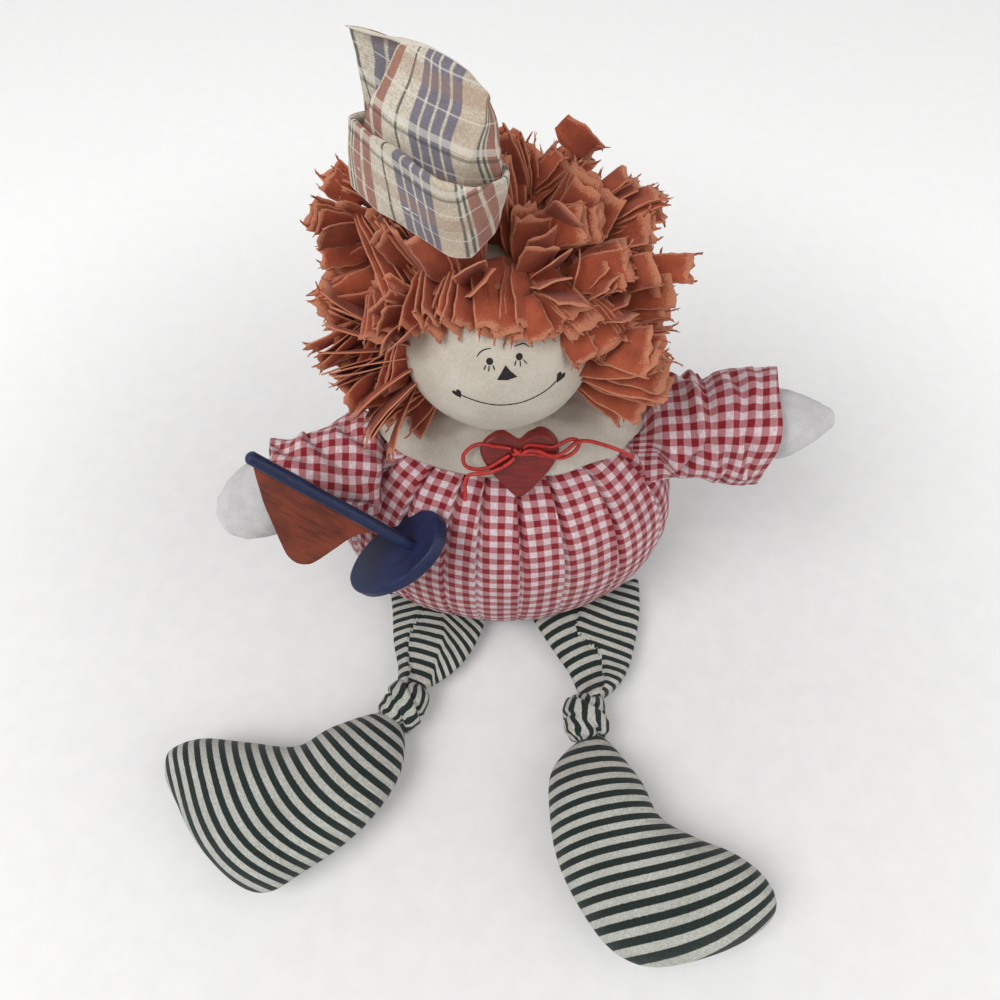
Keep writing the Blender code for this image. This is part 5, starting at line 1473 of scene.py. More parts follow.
def thigh_stripes(side):
    """Stripes of each layer of a thigh. The right one's inner layer is bent along a line, so it has two."""
    rows = THIGH_MARKS[side][2]
    cubic_calm = np.array((0, 0, 0, 1, 1, 1, 3, 3, 3, 3)) * 0.02
    stripes = {"outer": fit_thigh(side, rows["outer"], cubic_calm)}
    if side == "left":
        stripes["inner"] = fit_thigh(side, rows["inner"], cubic_calm)
        return stripes
    square_calm = np.array((0, 0, 0, 1, 1, 1)) * 0.01

    def bend_at(down):
        return np.interp(down, [mark[1] for mark in BEND_MARKS], [mark[0] for mark in BEND_MARKS])

    stripes["inner"] = fit_thigh(side, rows["inner"], square_calm,
                                 lambda across, down: across <= bend_at(down) + BEND_OVERLAP)
    stripes["bent"] = fit_thigh(side, rows["inner"], square_calm,
                                lambda across, down: across >= bend_at(down) - BEND_OVERLAP)
    return stripes


def curve_at(marks, share):
    """Points along a row of marks, in metres."""
    marks = np.array(marks) * MM
    place = np.asarray(share) * (len(marks) - 1)
    return np.stack([spline(marks[:, axis], place, True) for axis in (0, 1)], -1)


def make_thigh(side):
    """Limp tube pressed flat, one layer folded over along the leg and pinched in at the knot."""
    hip = np.array(HIPS[side])
    across = np.array((math.cos(HIP_TURNS[side]), math.sin(HIP_TURNS[side])))
    away = np.array((math.sin(HIP_TURNS[side]), -math.cos(HIP_TURNS[side])))
    rows, columns = 60, 100
    share = np.linspace(0.0, 1.0, rows)
    low = curve_at(THIGH_EDGES[side][0], share)
    high = curve_at(THIGH_EDGES[side][1], share)
    lead = np.linspace(0.0, 1.0, 10)[:-1, None]
    sewn = hip - away * 0.001
    low_end, high_end = sewn - across * THIGH_WIDTHS[side], sewn + across * THIGH_WIDTHS[side]
    low = np.concatenate((low_end + (low[0] - low_end) * lead, low), 0)
    high = np.concatenate((high_end + (high[0] - high_end) * lead, high), 0)
    rows = len(low)
    turn = np.linspace(-math.pi, math.pi, columns, endpoint=False)
    wide = -np.cos(turn)
    spread_share = 0.5 + 0.5 * np.sign(wide) * np.abs(wide) ** 0.9
    flat = low[:, None] + (high - low)[:, None] * spread_share[None, :, None]
    down = np.linspace(0.0, 1.0, rows)[:, None]
    thick = THIGH_HALF_THICKNESS * (0.75 + 0.25 * smooth(0.0, 0.2, down)) + 0.0034 * smooth(0.6, 0.98, down)
    middle = THIGH_LIFT + 0.0014 * smooth(0.5, 1.0, down)
    lift = np.sign(np.sin(turn)) * np.abs(np.sin(turn)) ** 0.75
    z = middle + thick * lift[None, :]
    signed = line_distance(flat, THIGH_FOLDS[side])
    upper = np.clip(lift, 0.0, 1.0)[None, :]
    over = 1.0 if side == "left" else -1.0
    step = smooth(-0.0009, 0.0009, signed * over)
    fold = 0.0017 * step * np.exp(-np.clip(signed * over, 0, 1) / 0.008)
    fold = fold - 0.0009 * np.exp(-((signed * over + 0.001) / 0.0016) ** 2)
    z = z + fold * upper * smooth(0.02, 0.2, down) * 1.1
    ripples = 0.0009 * np.sin(signed / 0.0021 + 3.0 * down) * smooth(0.66, 0.95, down)
    z = z + ripples * upper
    points = np.concatenate((flat, z[..., None]), -1)
    for row in range(rows):
        for column in range(columns):
            place = points[row, column]
            soft = 0.0009 * lump(place, 0.013, 51.0) + 0.0004 * lump(place, 0.006, 55.0)
            points[row, column, 2] = max(place[2] + soft * abs(lift[column]), 0.0008)
    local = (points[..., :2] - hip) / (THIGH_SCALE * MM)
    stripes = thigh_stripes(side)
    fields = [cubic(stripes[part], local[..., 0], local[..., 1]) for part in ("inner", "outer")]
    if side == "right":
        past = np.interp(points[..., 1], *np.array(sorted((y * MM, x * MM) for x, y in BENT_FROM)).T)
        bent = smooth(-0.0012, 0.0012, points[..., 0] - past)
        fields[0] = fields[0] * (1 - bent) + cubic(stripes["bent"], local[..., 0], local[..., 1]) * bent
    on_inner = signed * over < 0
    u = points[..., 0] + points[..., 2]
    near = [np.stack((u, (field + 0.5) * STRIPE_PITCH), -1) for field in fields]
    verts, faces, _ = skin(points, True, (True, True))
    corners = []
    for face in faces:
        known = [index for index in face if index < rows * columns]
        cells = [divmod(index, columns) for index in known]
        votes = sum(1 if on_inner[cell] else -1 for cell in cells)
        chosen = near[0] if votes > 0 else near[1]
        values = [tuple(chosen[cell]) for cell in cells]
        if len(values) < len(face):
            values.append(tuple(np.mean(values, 0)))
        corners.append(tuple(values))
    thigh = add_mesh("thigh_cloth_" + side, verts, faces, TICKING, uvs={"cloth": corners})
    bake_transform(thigh)
    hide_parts("thigh_" + side)


KNOT_LEANS = {"left": math.radians(-4), "right": math.radians(-34)}
KNOT_STARTS = {"left": 0.0019, "right": 0.0005}
KNOT_RADIUS, KNOT_HALF_LENGTH, KNOT_HEIGHT, KNOT_WRAP = 0.0104, 0.0112, 0.0112, 0.0098


def make_knot(side):
    """Overhand knot of the leg: a wrap pulled tight round a bundle, its stripes running down the leg."""
    knee = np.array((*KNEES[side], KNOT_HEIGHT))
    rows, columns = 56, 90
    polar = np.linspace(0.05, math.pi - 0.05, rows)[:, None]
    turn = np.linspace(-math.pi, math.pi, columns, endpoint=False)[None, :]
    along = np.cos(polar)
    radius = np.sin(polar) ** 0.62
    x = radius * np.sin(turn)
    z = radius * np.cos(turn)
    y = along + 0 * turn
    spiral = y * 1.1 + 0.55 * x
    groove = np.exp(-((spiral - 0.52) / 0.10) ** 2) + np.exp(-((spiral + 0.62 - 0.25 * z) / 0.10) ** 2)
    band = smooth(-0.62, -0.3, spiral) * smooth(0.62, 0.35, spiral)
    swell = 1.0 + 0.10 * band - 0.16 * groove
    crumple = smooth(0.1, -0.9, y)
    points = np.stack((x * KNOT_RADIUS, y * KNOT_HALF_LENGTH, z * KNOT_RADIUS), -1) * swell[..., None]
    for row in range(rows):
        for column in range(columns):
            place = points[row, column]
            fine = crumple[row, column] * lump(place, 0.0032, 63.0)
            soft = 1.0 + 0.09 * lump(place, 0.006, 61.0) + 0.10 * fine
            points[row, column] = place * soft
    wobble = np.zeros((rows, columns))
    for row in range(rows):
        for column in range(columns):
            place = points[row, column]
            wobble[row, column] = (0.0007 + 0.0022 * crumple[row, column]) * lump(place, 0.005, 67.0)
    lean = KNOT_LEANS[side]
    spin = np.array(Matrix.Rotation(lean, 3, "Z"))
    curve = 0.0022 * np.cos(y * 2.2) * (1 if side == "left" else -1)
    v = turn * KNOT_WRAP + curve + wobble + KNOT_STARTS[side]
    u = y * KNOT_HALF_LENGTH
    near = np.stack((u, v), -1)
    far = np.stack((np.roll(u, -1, 1), np.roll(v, -1, 1)), -1)
    far[:, -1, 1] = v[:, 0] + 2 * math.pi * KNOT_WRAP
    points = points @ spin.T + knee
    points[..., 2] = np.maximum(points[..., 2], 0.0007)
    verts, faces, corners = skin(points, True, (True, True), near, far)
    knot = add_mesh("knot_" + side, verts, faces, TICKING, uvs={"cloth": corners})
    dress(knot, "knee_%s_body" % side, "knee_knot_" + side)


for side_made in ("left", "right"):
    make_thigh(side_made)
    make_knot(side_made)


# Toy boat held in the hand

BOAT_FOOT = np.array((-0.0380, -0.0436, 0.0936))
BOAT_AXES = np.array((ALONG_KEEL, (0.010, -0.999, 0.052), ALONG_MAST)).T
HULL_LENGTH, HULL_BEAM, HULL_THICKNESS = 0.0560, 0.0320, 0.0058
MAST_RADIUS, MAST_TOP = 0.00255, 0.0748
SAIL_WIDTH, SAIL_HEIGHT, SAIL_THICKNESS = 0.0395, 0.0575, 0.0022
HULL_OUTLINE = ((0.5, 0.0), (0.43, 0.25), (0.275, 0.42), (0.05, 0.5), (-0.2, 0.49), (-0.39, 0.36),
                (-0.48, 0.18), (-0.5, 0.0))
SAIL_OUTLINE = ((0.0, 0.0), (0.19, 0.035), (0.58, 0.02), (0.88, 0.01), (0.99, 0.025), (1.05, 0.07),
                (1.05, 0.13), (0.99, 0.215), (0.85, 0.33), (0.71, 0.438), (0.55, 0.56), (0.39, 0.68),
                (0.2, 0.805), (0.05, 0.90), (0.0, 0.91), (0.0, 0.7), (0.0, 0.45), (0.0, 0.22))


def boat_place(long, wide, high):
    """Point of the boat from lengths along its keel, beam and mast."""
    return BOAT_FOOT + BOAT_AXES @ np.array((long, wide, high))


def make_boat():
    """Painted hull, turned mast with a domed end, thin wooden sail let in along the mast."""
    outline = [(x * HULL_LENGTH, y * HULL_BEAM) for x, y in HULL_OUTLINE]
    outline += [(x, -y) for x, y in reversed(outline[1:-1])]
    hull = plate("hull", outline_curve(outline, 8), HULL_THICKNESS, BOAT_AXES,
                 boat_place(0.0124, -0.0018, -HULL_THICKNESS / 2), DECK, 0.0012)
    dress(hull, "arm_right_body", "boat_hull")
    rows = [(-0.0028, 0.00262)]
    rows += [(high, MAST_RADIUS - 0.00008 * math.sin(high * 190)) for high in np.linspace(-0.002, 0.0745, 20)]
    rows += [(MAST_TOP + 0.0022 * math.sin(turn), MAST_RADIUS * math.cos(turn))
             for turn in np.linspace(0.15, 1.5, 7)]
    turns = np.linspace(0, 2 * math.pi, 28, endpoint=False)
    points = np.array([[boat_place(radius * math.cos(turn), radius * math.sin(turn), high) for turn in turns]
                       for high, radius in rows])
    verts, faces, _ = skin(points, True, (True, True))
    dress(add_mesh("mast", verts, faces, NAVY), "arm_right_body", "boat_mast")
    places = outline_curve([(0.0029 + x * SAIL_WIDTH, 0.0187 + y * SAIL_HEIGHT) for x, y in SAIL_OUTLINE], 5)
    axes = np.stack((BOAT_AXES[:, 0], BOAT_AXES[:, 2], np.cross(BOAT_AXES[:, 0], BOAT_AXES[:, 2])), 1)
    sail = plate("sail", places, SAIL_THICKNESS, axes, BOAT_FOOT, SAIL, 0.0006)
    dress(sail, "arm_right_body", "boat_sail")


make_boat()


# Plaid hat folded from one cloth: a turned-up brim round a peaked crown with a pleat at one end

HAT_PLACE = np.array((-0.0250, -0.0030, 0.2185))
HAT_AXES = np.array(((0.886, -0.395, -0.242), (0.407, 0.914, 0.0), (0.221, -0.098, 0.970))).T
BRIM_LOW = ((-23.0, -1, -1), (-13, -7.0, 1.0), (-2, -9.5, 2.0), (8, -10.3, 1.4), (14.5, -10.2, 0.6),
            (20.5, -9.0, 3.0), (23.8, -3, 9.0), (22.5, 3, 11.0), (17, 8.5, 9.0), (8, 12, 4.0),
            (-4, 12.5, 1.0), (-15, 9.5, -1.0),
            (-21.5, 4.5, -1.5))
BRIM_HIGH = ((-23.5, -3, 21.5), (-16, -8.5, 24.0), (-7.5, -12.0, 25.5), (1, -13.5, 24.6), (9, -13.8, 24.2),
             (14, -13.2, 25.0), (19.4, -11.4, 26.0), (23.4, -4.0, 26.6), (22.0, 2, 25.5), (15, 8, 24.5),
             (4, 11.5, 24.0), (-8, 11.0, 23.0), (-19, 5.0, 22.0))
BRIM_CORNERS = (0, 5, 6)
CROWN_LOW = ((-19.0, -5.5, 10.0), (-9, -9.5, 10.0), (1, -11.5, 10.0), (8.5, -11.0, 10.0), (14.5, -9.0, 10.0),
             (21.5, -1.5, 10.0), (21.5, 3.5, 10.0), (12, 8.0, 10.0), (0, 9.5, 10.0), (-12, 7.5, 10.0),
             (-20.5, 3.5, 10.0), (-16.0, 0.5, 10.0))
CROWN_MIDDLE = ((-18.0, -5.5, 27.0), (-9.5, -8.5, 29.0), (0.5, -9.0, 30.0), (7.5, -8.7, 30.0),
                (13.6, -8.0, 29.0), (19.8, -1.5, 28.0), (18.5, 3.0, 28.0), (11, 6.5, 29.0),
                (0, 7.5, 30.0), (-12, 6.5, 29.0),
                (-23.5, 3.5, 26.0), (-14.5, 0.2, 27.0))
CROWN_HIGH = ((-14.0, -3.6, 39.0), (-7.0, -5.2, 41.0), (1.5, -5.4, 42.0), (8.6, -5.3, 41.0),
              (14.2, -4.6, 39.4), (16.6, -0.8, 37.6), (15.6, 1.6, 37.6), (9.5, 3.6, 41.0),
              (1, 4.4, 43.0), (-9, 4.0, 42.5),
              (-25.5, 2.6, 36.0), (-11.5, 0.2, 39.0))
CROWN_TOP = ((-12.4, -2.2, 44.6), (-7.0, -2.4, 46.6), (-1.0, -2.4, 47.6), (6.2, -2.4, 46.4),
             (12.8, -2.0, 44.0), (13.4, -0.6, 42.8), (12.8, 0.4, 43.0), (6.6, 0.4, 46.2),
             (-1.0, 0.6, 47.6), (-11, 1.4, 46.4),
             (-27.6, 2.0, 42.2), (-12.2, 0.4, 44.8))
CROWN_CORNERS = (0, 4, 6, 10, 11)


def plaid_material():
    """Cream plaid with bands of blue, rust and thin green lines."""
    shader = Shader("plaid", 0.9, sheen=0.1)
    u, v = shader.uv()[:2]
    slub = cloth_noise(shader, u, v)
    period = 0.0400
    cream = shader.mix(shader.ramp(slub, 0.3, 0.7), colour(192, 178, 158), colour(236, 228, 212))

    def stripe(base, value, centre, width, paint, strength, repeat=period):
        share = shader.band(value, repeat, width * MM / repeat, 0.006 if repeat > 0.02 else 0.02,
                            0.5 - centre * MM / repeat)
        return shader.mix(shader.math("MULTIPLY", share, strength), base, paint)

    cloth = stripe(cream, u, 29.0, 8.0, colour(186, 158, 128), 0.35)
    for centre, width in ((2.4, 3.6), (37.6, 3.4)):
        cloth = stripe(cloth, u, centre, width, colour(152, 74, 60), 0.78)
    for centre in (14.7, 17.9, 21.1, 24.3):
        cloth = stripe(cloth, u, centre, 2.5, colour(98, 95, 120), 0.82)
    for centre in (9.6, 33.2, 34.9):
        cloth = stripe(cloth, u, centre, 0.8, colour(34, 54, 46), 0.8)
    cloth = stripe(cloth, v, 20.2, 0.9, colour(34, 62, 50), 0.5, 0.0230)
    cloth = stripe(cloth, v, 12.0, 4.2, colour(170, 130, 104), 0.32, 0.0230)
    cloth = stripe(cloth, v, 22.4, 1.9, colour(238, 234, 222), 0.5, 0.0230)
    for centre in (6.6, 15.4):
        cloth = stripe(cloth, v, centre, 0.45, colour(238, 232, 218), 0.55, 0.0230)
    cloud = shader.noise(shader.place(), 80.0, 2.0)
    cloth = shader.mix(shader.ramp(cloud, 0.35, 0.75, 0.0, 0.22), cloth, colour(130, 110, 96), "MULTIPLY")
    height = shader.math("ADD", shader.weave(u, v, 0.34 * MM), shader.math("MULTIPLY", slub, 2.5))
    return shader.finish(cloth, shader.bump(height, 0.4, 0.00013))


PLAID = plaid_material()


def corner_loop(points, corners, steps):
    """Closed smooth curve through points, sharper at the corners."""
    points = [np.array(place, float) for place in points]
    count = len(points)
    made = []
    for index in range(count):
        before, start, end, after = (points[(index + shift) % count] for shift in (-1, 0, 1, 2))
        lead = (end - before) * (0.08 if index in corners else 0.5)
        trail = (after - start) * (0.08 if (index + 1) % count in corners else 0.5)
        for step in range(steps):
            share = step / steps
            made.append((2 * share ** 3 - 3 * share ** 2 + 1) * start
                        + (share ** 3 - 2 * share ** 2 + share) * lead
                        + (-2 * share ** 3 + 3 * share ** 2) * end + (share ** 3 - share ** 2) * trail)
    return np.array(made)


def hat_points(grid):
    """Grid of hat places in millimetres as points of the doll."""
    return HAT_PLACE + (np.asarray(grid) * MM) @ HAT_AXES.T


def hat_cloth(grid, shift, seed, slide=0.0):
    """Plaid cloth over a grid of hat places, softened and creased by hand."""
    points = hat_points(grid)
    normals = row_normals(points)
    for row in range(points.shape[0]):
        for column in range(points.shape[1]):
            place = points[row, column]
            soft = 0.0005 * lump(place, 0.011, seed) + 0.0003 * lump(place, 0.005, seed + 3)
            points[row, column] += normals[row, column] * soft
    near, far = lay_uv(points)
    widths = np.linalg.norm(np.roll(points, -1, 1) - points, axis=2)
    middle = len(points) // 2
    run = np.cumsum(widths[middle]) - widths[middle]
    near[..., 0] = run[None, :] + shift * MM
    far[..., 0] = (run + widths[middle])[None, :] + shift * MM
    slid = slide * MM * smooth(35.0, 20.0, np.asarray(grid)[..., 2])
    near[..., 0] -= slid
    far[..., 0] -= np.roll(slid, -1, 1)
    return skin(points, True, (False, False), near, far)


def make_brim():
    """Turned-up brim: outer face, rounded folded lip and the inner face tucked down beside the crown."""
    low, high = corner_loop(BRIM_LOW, BRIM_CORNERS, 11), corner_loop(BRIM_HIGH, BRIM_CORNERS, 11)
    middle = (low + high).mean(0) / 2
    rows = []
    for share in np.linspace(0.0, 1.0, 22):
        ring = low + (high - low) * share
        belly = 1.0 + 0.03 * math.sin(math.pi * share)
        rows.append(middle + (ring - middle) * np.array((belly, belly, 1.0)))
    inward = middle - high
    inward[:, 2] = 0
    inward /= np.linalg.norm(inward, axis=1, keepdims=True)
    for angle in np.linspace(0.25, math.pi - 0.1, 7):
        rise = np.array((0, 0, 1.15 * math.sin(angle)))
        rows.append(high + inward * (1.0 - math.cos(angle)) * 1.15 + rise)
    for drop in np.linspace(2.0, 15.0, 8):
        rows.append(high + inward * (2.3 + 0.05 * drop) - np.array((0, 0, drop)))
    verts, faces, corners = hat_cloth(rows, -8.5, 71.0)
    brim = add_mesh("hat_fold", verts, faces, PLAID, uvs={"cloth": corners})
    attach(brim, "head")
    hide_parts("hat_brim")


def make_crown():
    """Peaked crown: front and back panels meet in a soft ridge, with a gusset and a deep pleat."""
    levels = (CROWN_LOW, CROWN_MIDDLE, CROWN_HIGH, CROWN_TOP)
    loops = [corner_loop(loop, CROWN_CORNERS, 12) for loop in levels]
    heights = (0.0, 0.5, 0.84, 1.0)
    rows = []
    for share in np.linspace(0.0, 1.0, 40):
        index = min(2, int(np.searchsorted(heights, share, "right")) - 1)
        index = max(index, 0)
        part = (share - heights[index]) / (heights[index + 1] - heights[index])
        ring = loops[index] + (loops[index + 1] - loops[index]) * part
        rows.append(ring)
    rows = np.array(rows)
    for _ in range(2):
        rows[1:-1] = (rows[:-2] + 2 * rows[1:-1] + rows[2:]) / 4
    ridge = rows[-1].copy()
    for share in (0.35, 0.7, 0.92):
        ring = ridge.copy()
        ring[:, 1] = ridge[:, 1] * (1 - share) - 0.4 * share
        ring[:, 2] = ridge[:, 2] + 0.9 * math.sin(share * math.pi / 2)
        rows = np.concatenate((rows, ring[None]), 0)
    verts, faces, corners = hat_cloth(rows, 0.0, 77.0, 5.0)
    last = (rows.shape[0] - 1) * rows.shape[1]
    crown = add_mesh("hat_crown_cloth", verts, faces, PLAID, uvs={"cloth": corners})
    bm = bmesh.new()
    bm.from_mesh(crown.data)
    bm.verts.ensure_lookup_table()
    top = [edge for edge in bm.edges
           if edge.is_boundary and all(vert.index >= last for vert in edge.verts)]
    bmesh.ops.triangle_fill(bm, use_beauty=True, edges=top)
    bmesh.ops.recalc_face_normals(bm, faces=bm.faces)
    bm.to_mesh(crown.data)
    bm.free()
    crown.data.shade_smooth()
    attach(crown, "head")
    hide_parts("hat_crown")


make_brim()
make_crown()


# Hair: bunches of torn cloth strips, fanned like pages

FACE_TILT = math.radians(11)
BUNCHES = 19
CROWN_FANS = ((0.22, 0.93, 0.12), (-0.10, 0.85, 0.45))
GAP_FANS = 9
FAN_ROOT = 0.0328
HAIR_ROWS = ((72, 38, 6), (106, 37, 7), (142, 56, 5))


def hair_directions():
    """Directions of the bunches from the head's centre, in rows round the face."""
    face = np.array((0.0, -math.cos(FACE_TILT), math.sin(FACE_TILT)))
    up = np.array((0.0, math.sin(FACE_TILT), math.cos(FACE_TILT)))
    right = np.array((1.0, 0.0, 0.0))
    places = []
    for polar, spacing, count in HAIR_ROWS:
        polar = math.radians(polar)
        for index in range(count):
            turn = math.radians((index - (count - 1) / 2) * spacing)
            side = right * math.sin(turn) + up * math.cos(turn)
            direction = face * math.cos(polar) + side * math.sin(polar)
            if direction[2] > -0.42:
                places.append(direction)
    places.append(-face)
    return places


def unit(vector):
    """A vector of length one."""
    return vector / np.linalg.norm(vector)


def hair_value(index, seed):
    """A number from -1 to 1 that depends only on its two arguments."""
    return 2 * ((math.sin(index * 12.9898 + seed * 78.233) * 43758.5453) % 1.0) - 1


FRAY_TUCK, FRAY_WIDTH, FRAY_THICKNESS = 0.0022, 0.00034, 0.00024


class Strips:
    """Torn strips gathered into one mesh with two maps."""

    def __init__(self):
        self.verts, self.faces, self.cloth, self.rim = [], [], [], []

    def add(self, root, ahead, flat, length, width, bend, twist, seed, thickness=0.00042):
        """One strip from its root, bent towards its face, with a torn uneven end."""
        rows, columns = 9, 6
        ahead = unit(ahead)
        flat = unit(flat - ahead * (flat @ ahead))
        grid = []
        place = np.array(root, float)
        step = length / (rows - 1)
        for row in range(rows):
            share = row / (rows - 1)
            normal = np.cross(ahead, flat)
            wide = width * (0.62 + 0.38 * float(smooth(0.0, 0.35, share)))
            line = []
            for column in range(columns):
                side = column / (columns - 1) - 0.5
                ragged = 0.0 if row < rows - 1 else 0.0011 * hair_value(column, seed)
                edge = 0.00035 * hair_value(row * 7 + column, seed + 2) * (abs(side) > 0.45)
                cup = 0.0006 * (1 - 4 * side * side) * math.sin(seed * 3.1)
                line.append(place + flat * (side * wide + edge) + ahead * ragged + normal * cup)
            grid.append(line)
            turn = bend / (rows - 1) * (0.4 + 1.2 * share)
            ahead = unit(ahead + normal * turn)
            flat = unit(flat + np.cross(ahead, flat) * twist / (rows - 1))
            flat = unit(flat - ahead * (flat @ ahead))
            place = place + ahead * step
        grid = np.array(grid)
        self.corners = ((grid[-1, 0], -flat), (grid[-1, -1], flat))
        self.end = ahead
        normal = row_normals(grid, False)
        start = len(self.verts)
        for sign in (0.5, -0.5):
            self.verts += (grid + normal * thickness * sign).reshape(-1, 3).tolist()
        count = rows * columns

        def cell(row, column, layer):
            return start + layer * count + row * columns + column

        def maps(cells):
            self.cloth.append(tuple(((column / (columns - 1) - 0.5) * width + seed * 0.01, row * step)
                                    for row, column in cells))
            self.rim.append(tuple((column / (columns - 1), row / (rows - 1)) for row, column in cells))

        for row in range(rows - 1):
            for column in range(columns - 1):
                cells = ((row, column), (row, column + 1), (row + 1, column + 1), (row + 1, column))
                self.faces.append(tuple(cell(r, c, 0) for r, c in cells))
                maps(cells)
                self.faces.append(tuple(cell(r, c, 1) for r, c in reversed(cells)))
                maps(tuple(reversed(cells)))
        border = [(row, 0) for row in range(rows)] + [(rows - 1, column) for column in range(1, columns)]
        border += [(row, columns - 1) for row in range(rows - 2, -1, -1)]
        border += [(0, column) for column in range(columns - 2, 0, -1)]
        for near, far in zip(border, border[1:] + border[:1]):
            self.faces.append((cell(*near, 1), cell(*far, 1), cell(*far, 0), cell(*near, 0)))
            maps((near, far, far, near))

    def fray(self, length, seed):
        """Loose threads at the torn corners of the last strip."""
        for number, (corner, outward) in enumerate(self.corners):
            key = seed + number * 1.9
            ahead = unit(self.end + outward * (0.25 + 0.45 * hair_value(key, 2.0)))
            run = length * (0.8 + 0.5 * hair_value(key, 4.0))
            corners, end = self.corners, self.end
            root = corner - ahead * FRAY_TUCK - outward * 0.0004
            side = unit(np.cross(ahead, (0.3, 0.5, 0.8)))
            self.add(root, ahead, side, run + FRAY_TUCK, FRAY_WIDTH, 0.9 * hair_value(key, 3.0), 0.6, key,
                     FRAY_THICKNESS)
            self.corners, self.end = corners, end


HAIR_VIEW_LEFT = 280
HAIR_VIEW_SCALE = 3.56

# Pixels of root and tip in the enlarged view, distances of both from the head's centre, facing,
# pages, width, shift of each page in pixels and bend
STACK_MARKS = (
    ((655, 950), (690, 1165), 37, 41, 55, 5, 8.5, (-22, 5), 0.2),
    ((760, 935), (815, 1190), 38, 42, 15, 4, 9.5, (22, -6), 0.25),
    ((845, 960), (885, 1150), 38, 41, 35, 4, 8, (-12, 8), 0.2),
    ((800, 850), (1060, 1130), 38, 48, 20, 5, 9.5, (20, 10), 0.15),
    ((880, 1090), (960, 1215), 38, 42, 5, 3, 9, (15, -3), 0.2),
    ((840, 850), (1110, 815), 39, 51, 12, 6, 12, (24, -10), -0.25),
    ((1050, 985), (1240, 960), 42, 53, 12, 6, 11, (20, -15), 0.1),
    ((895, 760), (1010, 445), 39, 52, 25, 3, 8.5, (12, 6), 0.7),
    ((1010, 455), (1110, 600), 52, 52, -10, 2, 9, (8, 4), 0.5),
    ((1180, 760), (1290, 590), 45, 56, 60, 4, 9, (16, 8), 0.6),
    ((1290, 960), (1480, 965), 45, 62, 6, 2, 9.5, (-6, -10), 0.1),
    ((1060, 1080), (1190, 1245), 40, 47, 12, 5, 10, (18, -3), 0.2),
    ((1150, 1040), (1300, 1240), 41, 49, 15, 3, 10.5, (20, -4), 0.25),
    ((1030, 1180), (1085, 1295), 38, 42, 5, 2, 9, (10, -6), 0.2),
    ((1180, 1200), (1220, 1365), 37, 40, 0, 2, 11, (8, -4), 0.2),
    ((1285, 1170), (1330, 1340), 37, 42, 30, 3, 9, (-14, 2), 0.2),
    ((1130, 850), (1330, 850), 43, 55, 45, 5, 11, (10, -26), -0.2),
    ((1090, 730), (1190, 565), 43, 52, 60, 4, 9, (14, 10), 0.3),
    ((560, 950), (520, 1185), 38, 41, 40, 4, 9, (-18, -2), -0.2),
    ((480, 870), (590, 1015), 38, 42, 30, 4, 8, (-14, 10), 0.2),
    ((330, 990), (135, 1125), 42, 53, 5, 3, 11, (-4, -13), 0.15),
    ((385, 1000), (378, 1165), 42, 47, 0, 3, 10, (-10, -2), 0.2),
    ((450, 840), (180, 690), 39, 53, 65, 6, 9, (8, -19), -0.2),
    ((270, 700), (165, 600), 42, 52, 5, 2, 9, (8, 6), 0.2),
    ((270, 800), (105, 735), 42, 55, 30, 4, 10, (2, 15), -0.2),
    ((290, 900), (140, 915), 42, 52, 5, 2, 7.5, (2, -8), 0.1),
    ((280, 760), (440, 1020), 41, 44, 50, 4, 7.5, (20, -8), 0.2),
    ((270, 1150), (110, 1290), 40, 50, 70, 4, 6, (14, 10), 0.3),
    ((400, 1140), (310, 1385), 39, 45, 40, 5, 9, (20, 8), 0.3),
    ((450, 1200), (450, 1420), 37, 40, 40, 4, 8, (-16, 4), 0.2),
    ((850, 660), (800, 430), 39, 48, 40, 4, 9, (14, 10), -0.3),
    ((900, 640), (960, 510), 39, 50, 45, 4, 8, (12, 12), 0.3),
    ((840, 740), (1010, 570), 39, 50, 18, 3, 10, (14, 12), 0.2),
    ((960, 700), (1090, 640), 40, 50, 30, 3, 9, (12, 10), -0.2),
    ((350, 900), (230, 1010), 40, 46, 25, 3, 9, (-8, -14), 0.2),
    ((540, 880), (640, 960), 38, 40, 30, 3, 7, (8, 10), 0.2),
    ((735, 835), (800, 965), 37, 41, 30, 4, 8, (14, 6), 0.2),
    ((975, 870), (1055, 1005), 38, 42, 20, 4, 9, (16, 6), 0.2))

# Moves of root and tip in millimetres, by number of the mark
STACK_NUDGES = {
    0: ((2.2, 0.0, 0.6), (1.7, 1.0, 0.3)),
    4: ((0.0, 1.0, 0.6), (-0.9, 1.7, 1.2)),
    14: ((0.0, 0.0, 0.0), (-0.7, 3.0, 3.1)),
    15: ((0.0, 0.0, 0.0), (-1.2, 3.4, 3.3))}
NO_NUDGE = ((0.0, 0.0, 0.0), (0.0, 0.0, 0.0))

# Root, tip, normal, step, pages, width and bend of the stack that comes second
SECOND_STACK = ((-5.8, -5.0, 34.8), (-2.6, -28.0, 30.0), (0.42, -0.12, 0.9), (1.3, 0.6, -0.6), 3, 8.5, 0.2)

# Stacks round the foot of the hat: their number, the angle between them, their middles at root and tip
FOOT_STACKS = 7
FOOT_TURN, FOOT_START = 51.4, 12
FOOT_ROOT, FOOT_TIP = (-14.7, -0.6, 31.4), (-21.5, -1.0, 52.0)
STACK_DEPTH_STEP = 0.9
STRIP_LENGTH = 0.0285
STRIP_WIDTH = 0.0112


def tenths(vector):
    """A vector in millimetres, to a tenth."""
    return np.array([round(float(value), 1) for value in vector])


def hundredths(vector):
    """A direction to a hundredth."""
    return np.array([round(float(value), 2) for value in vector])


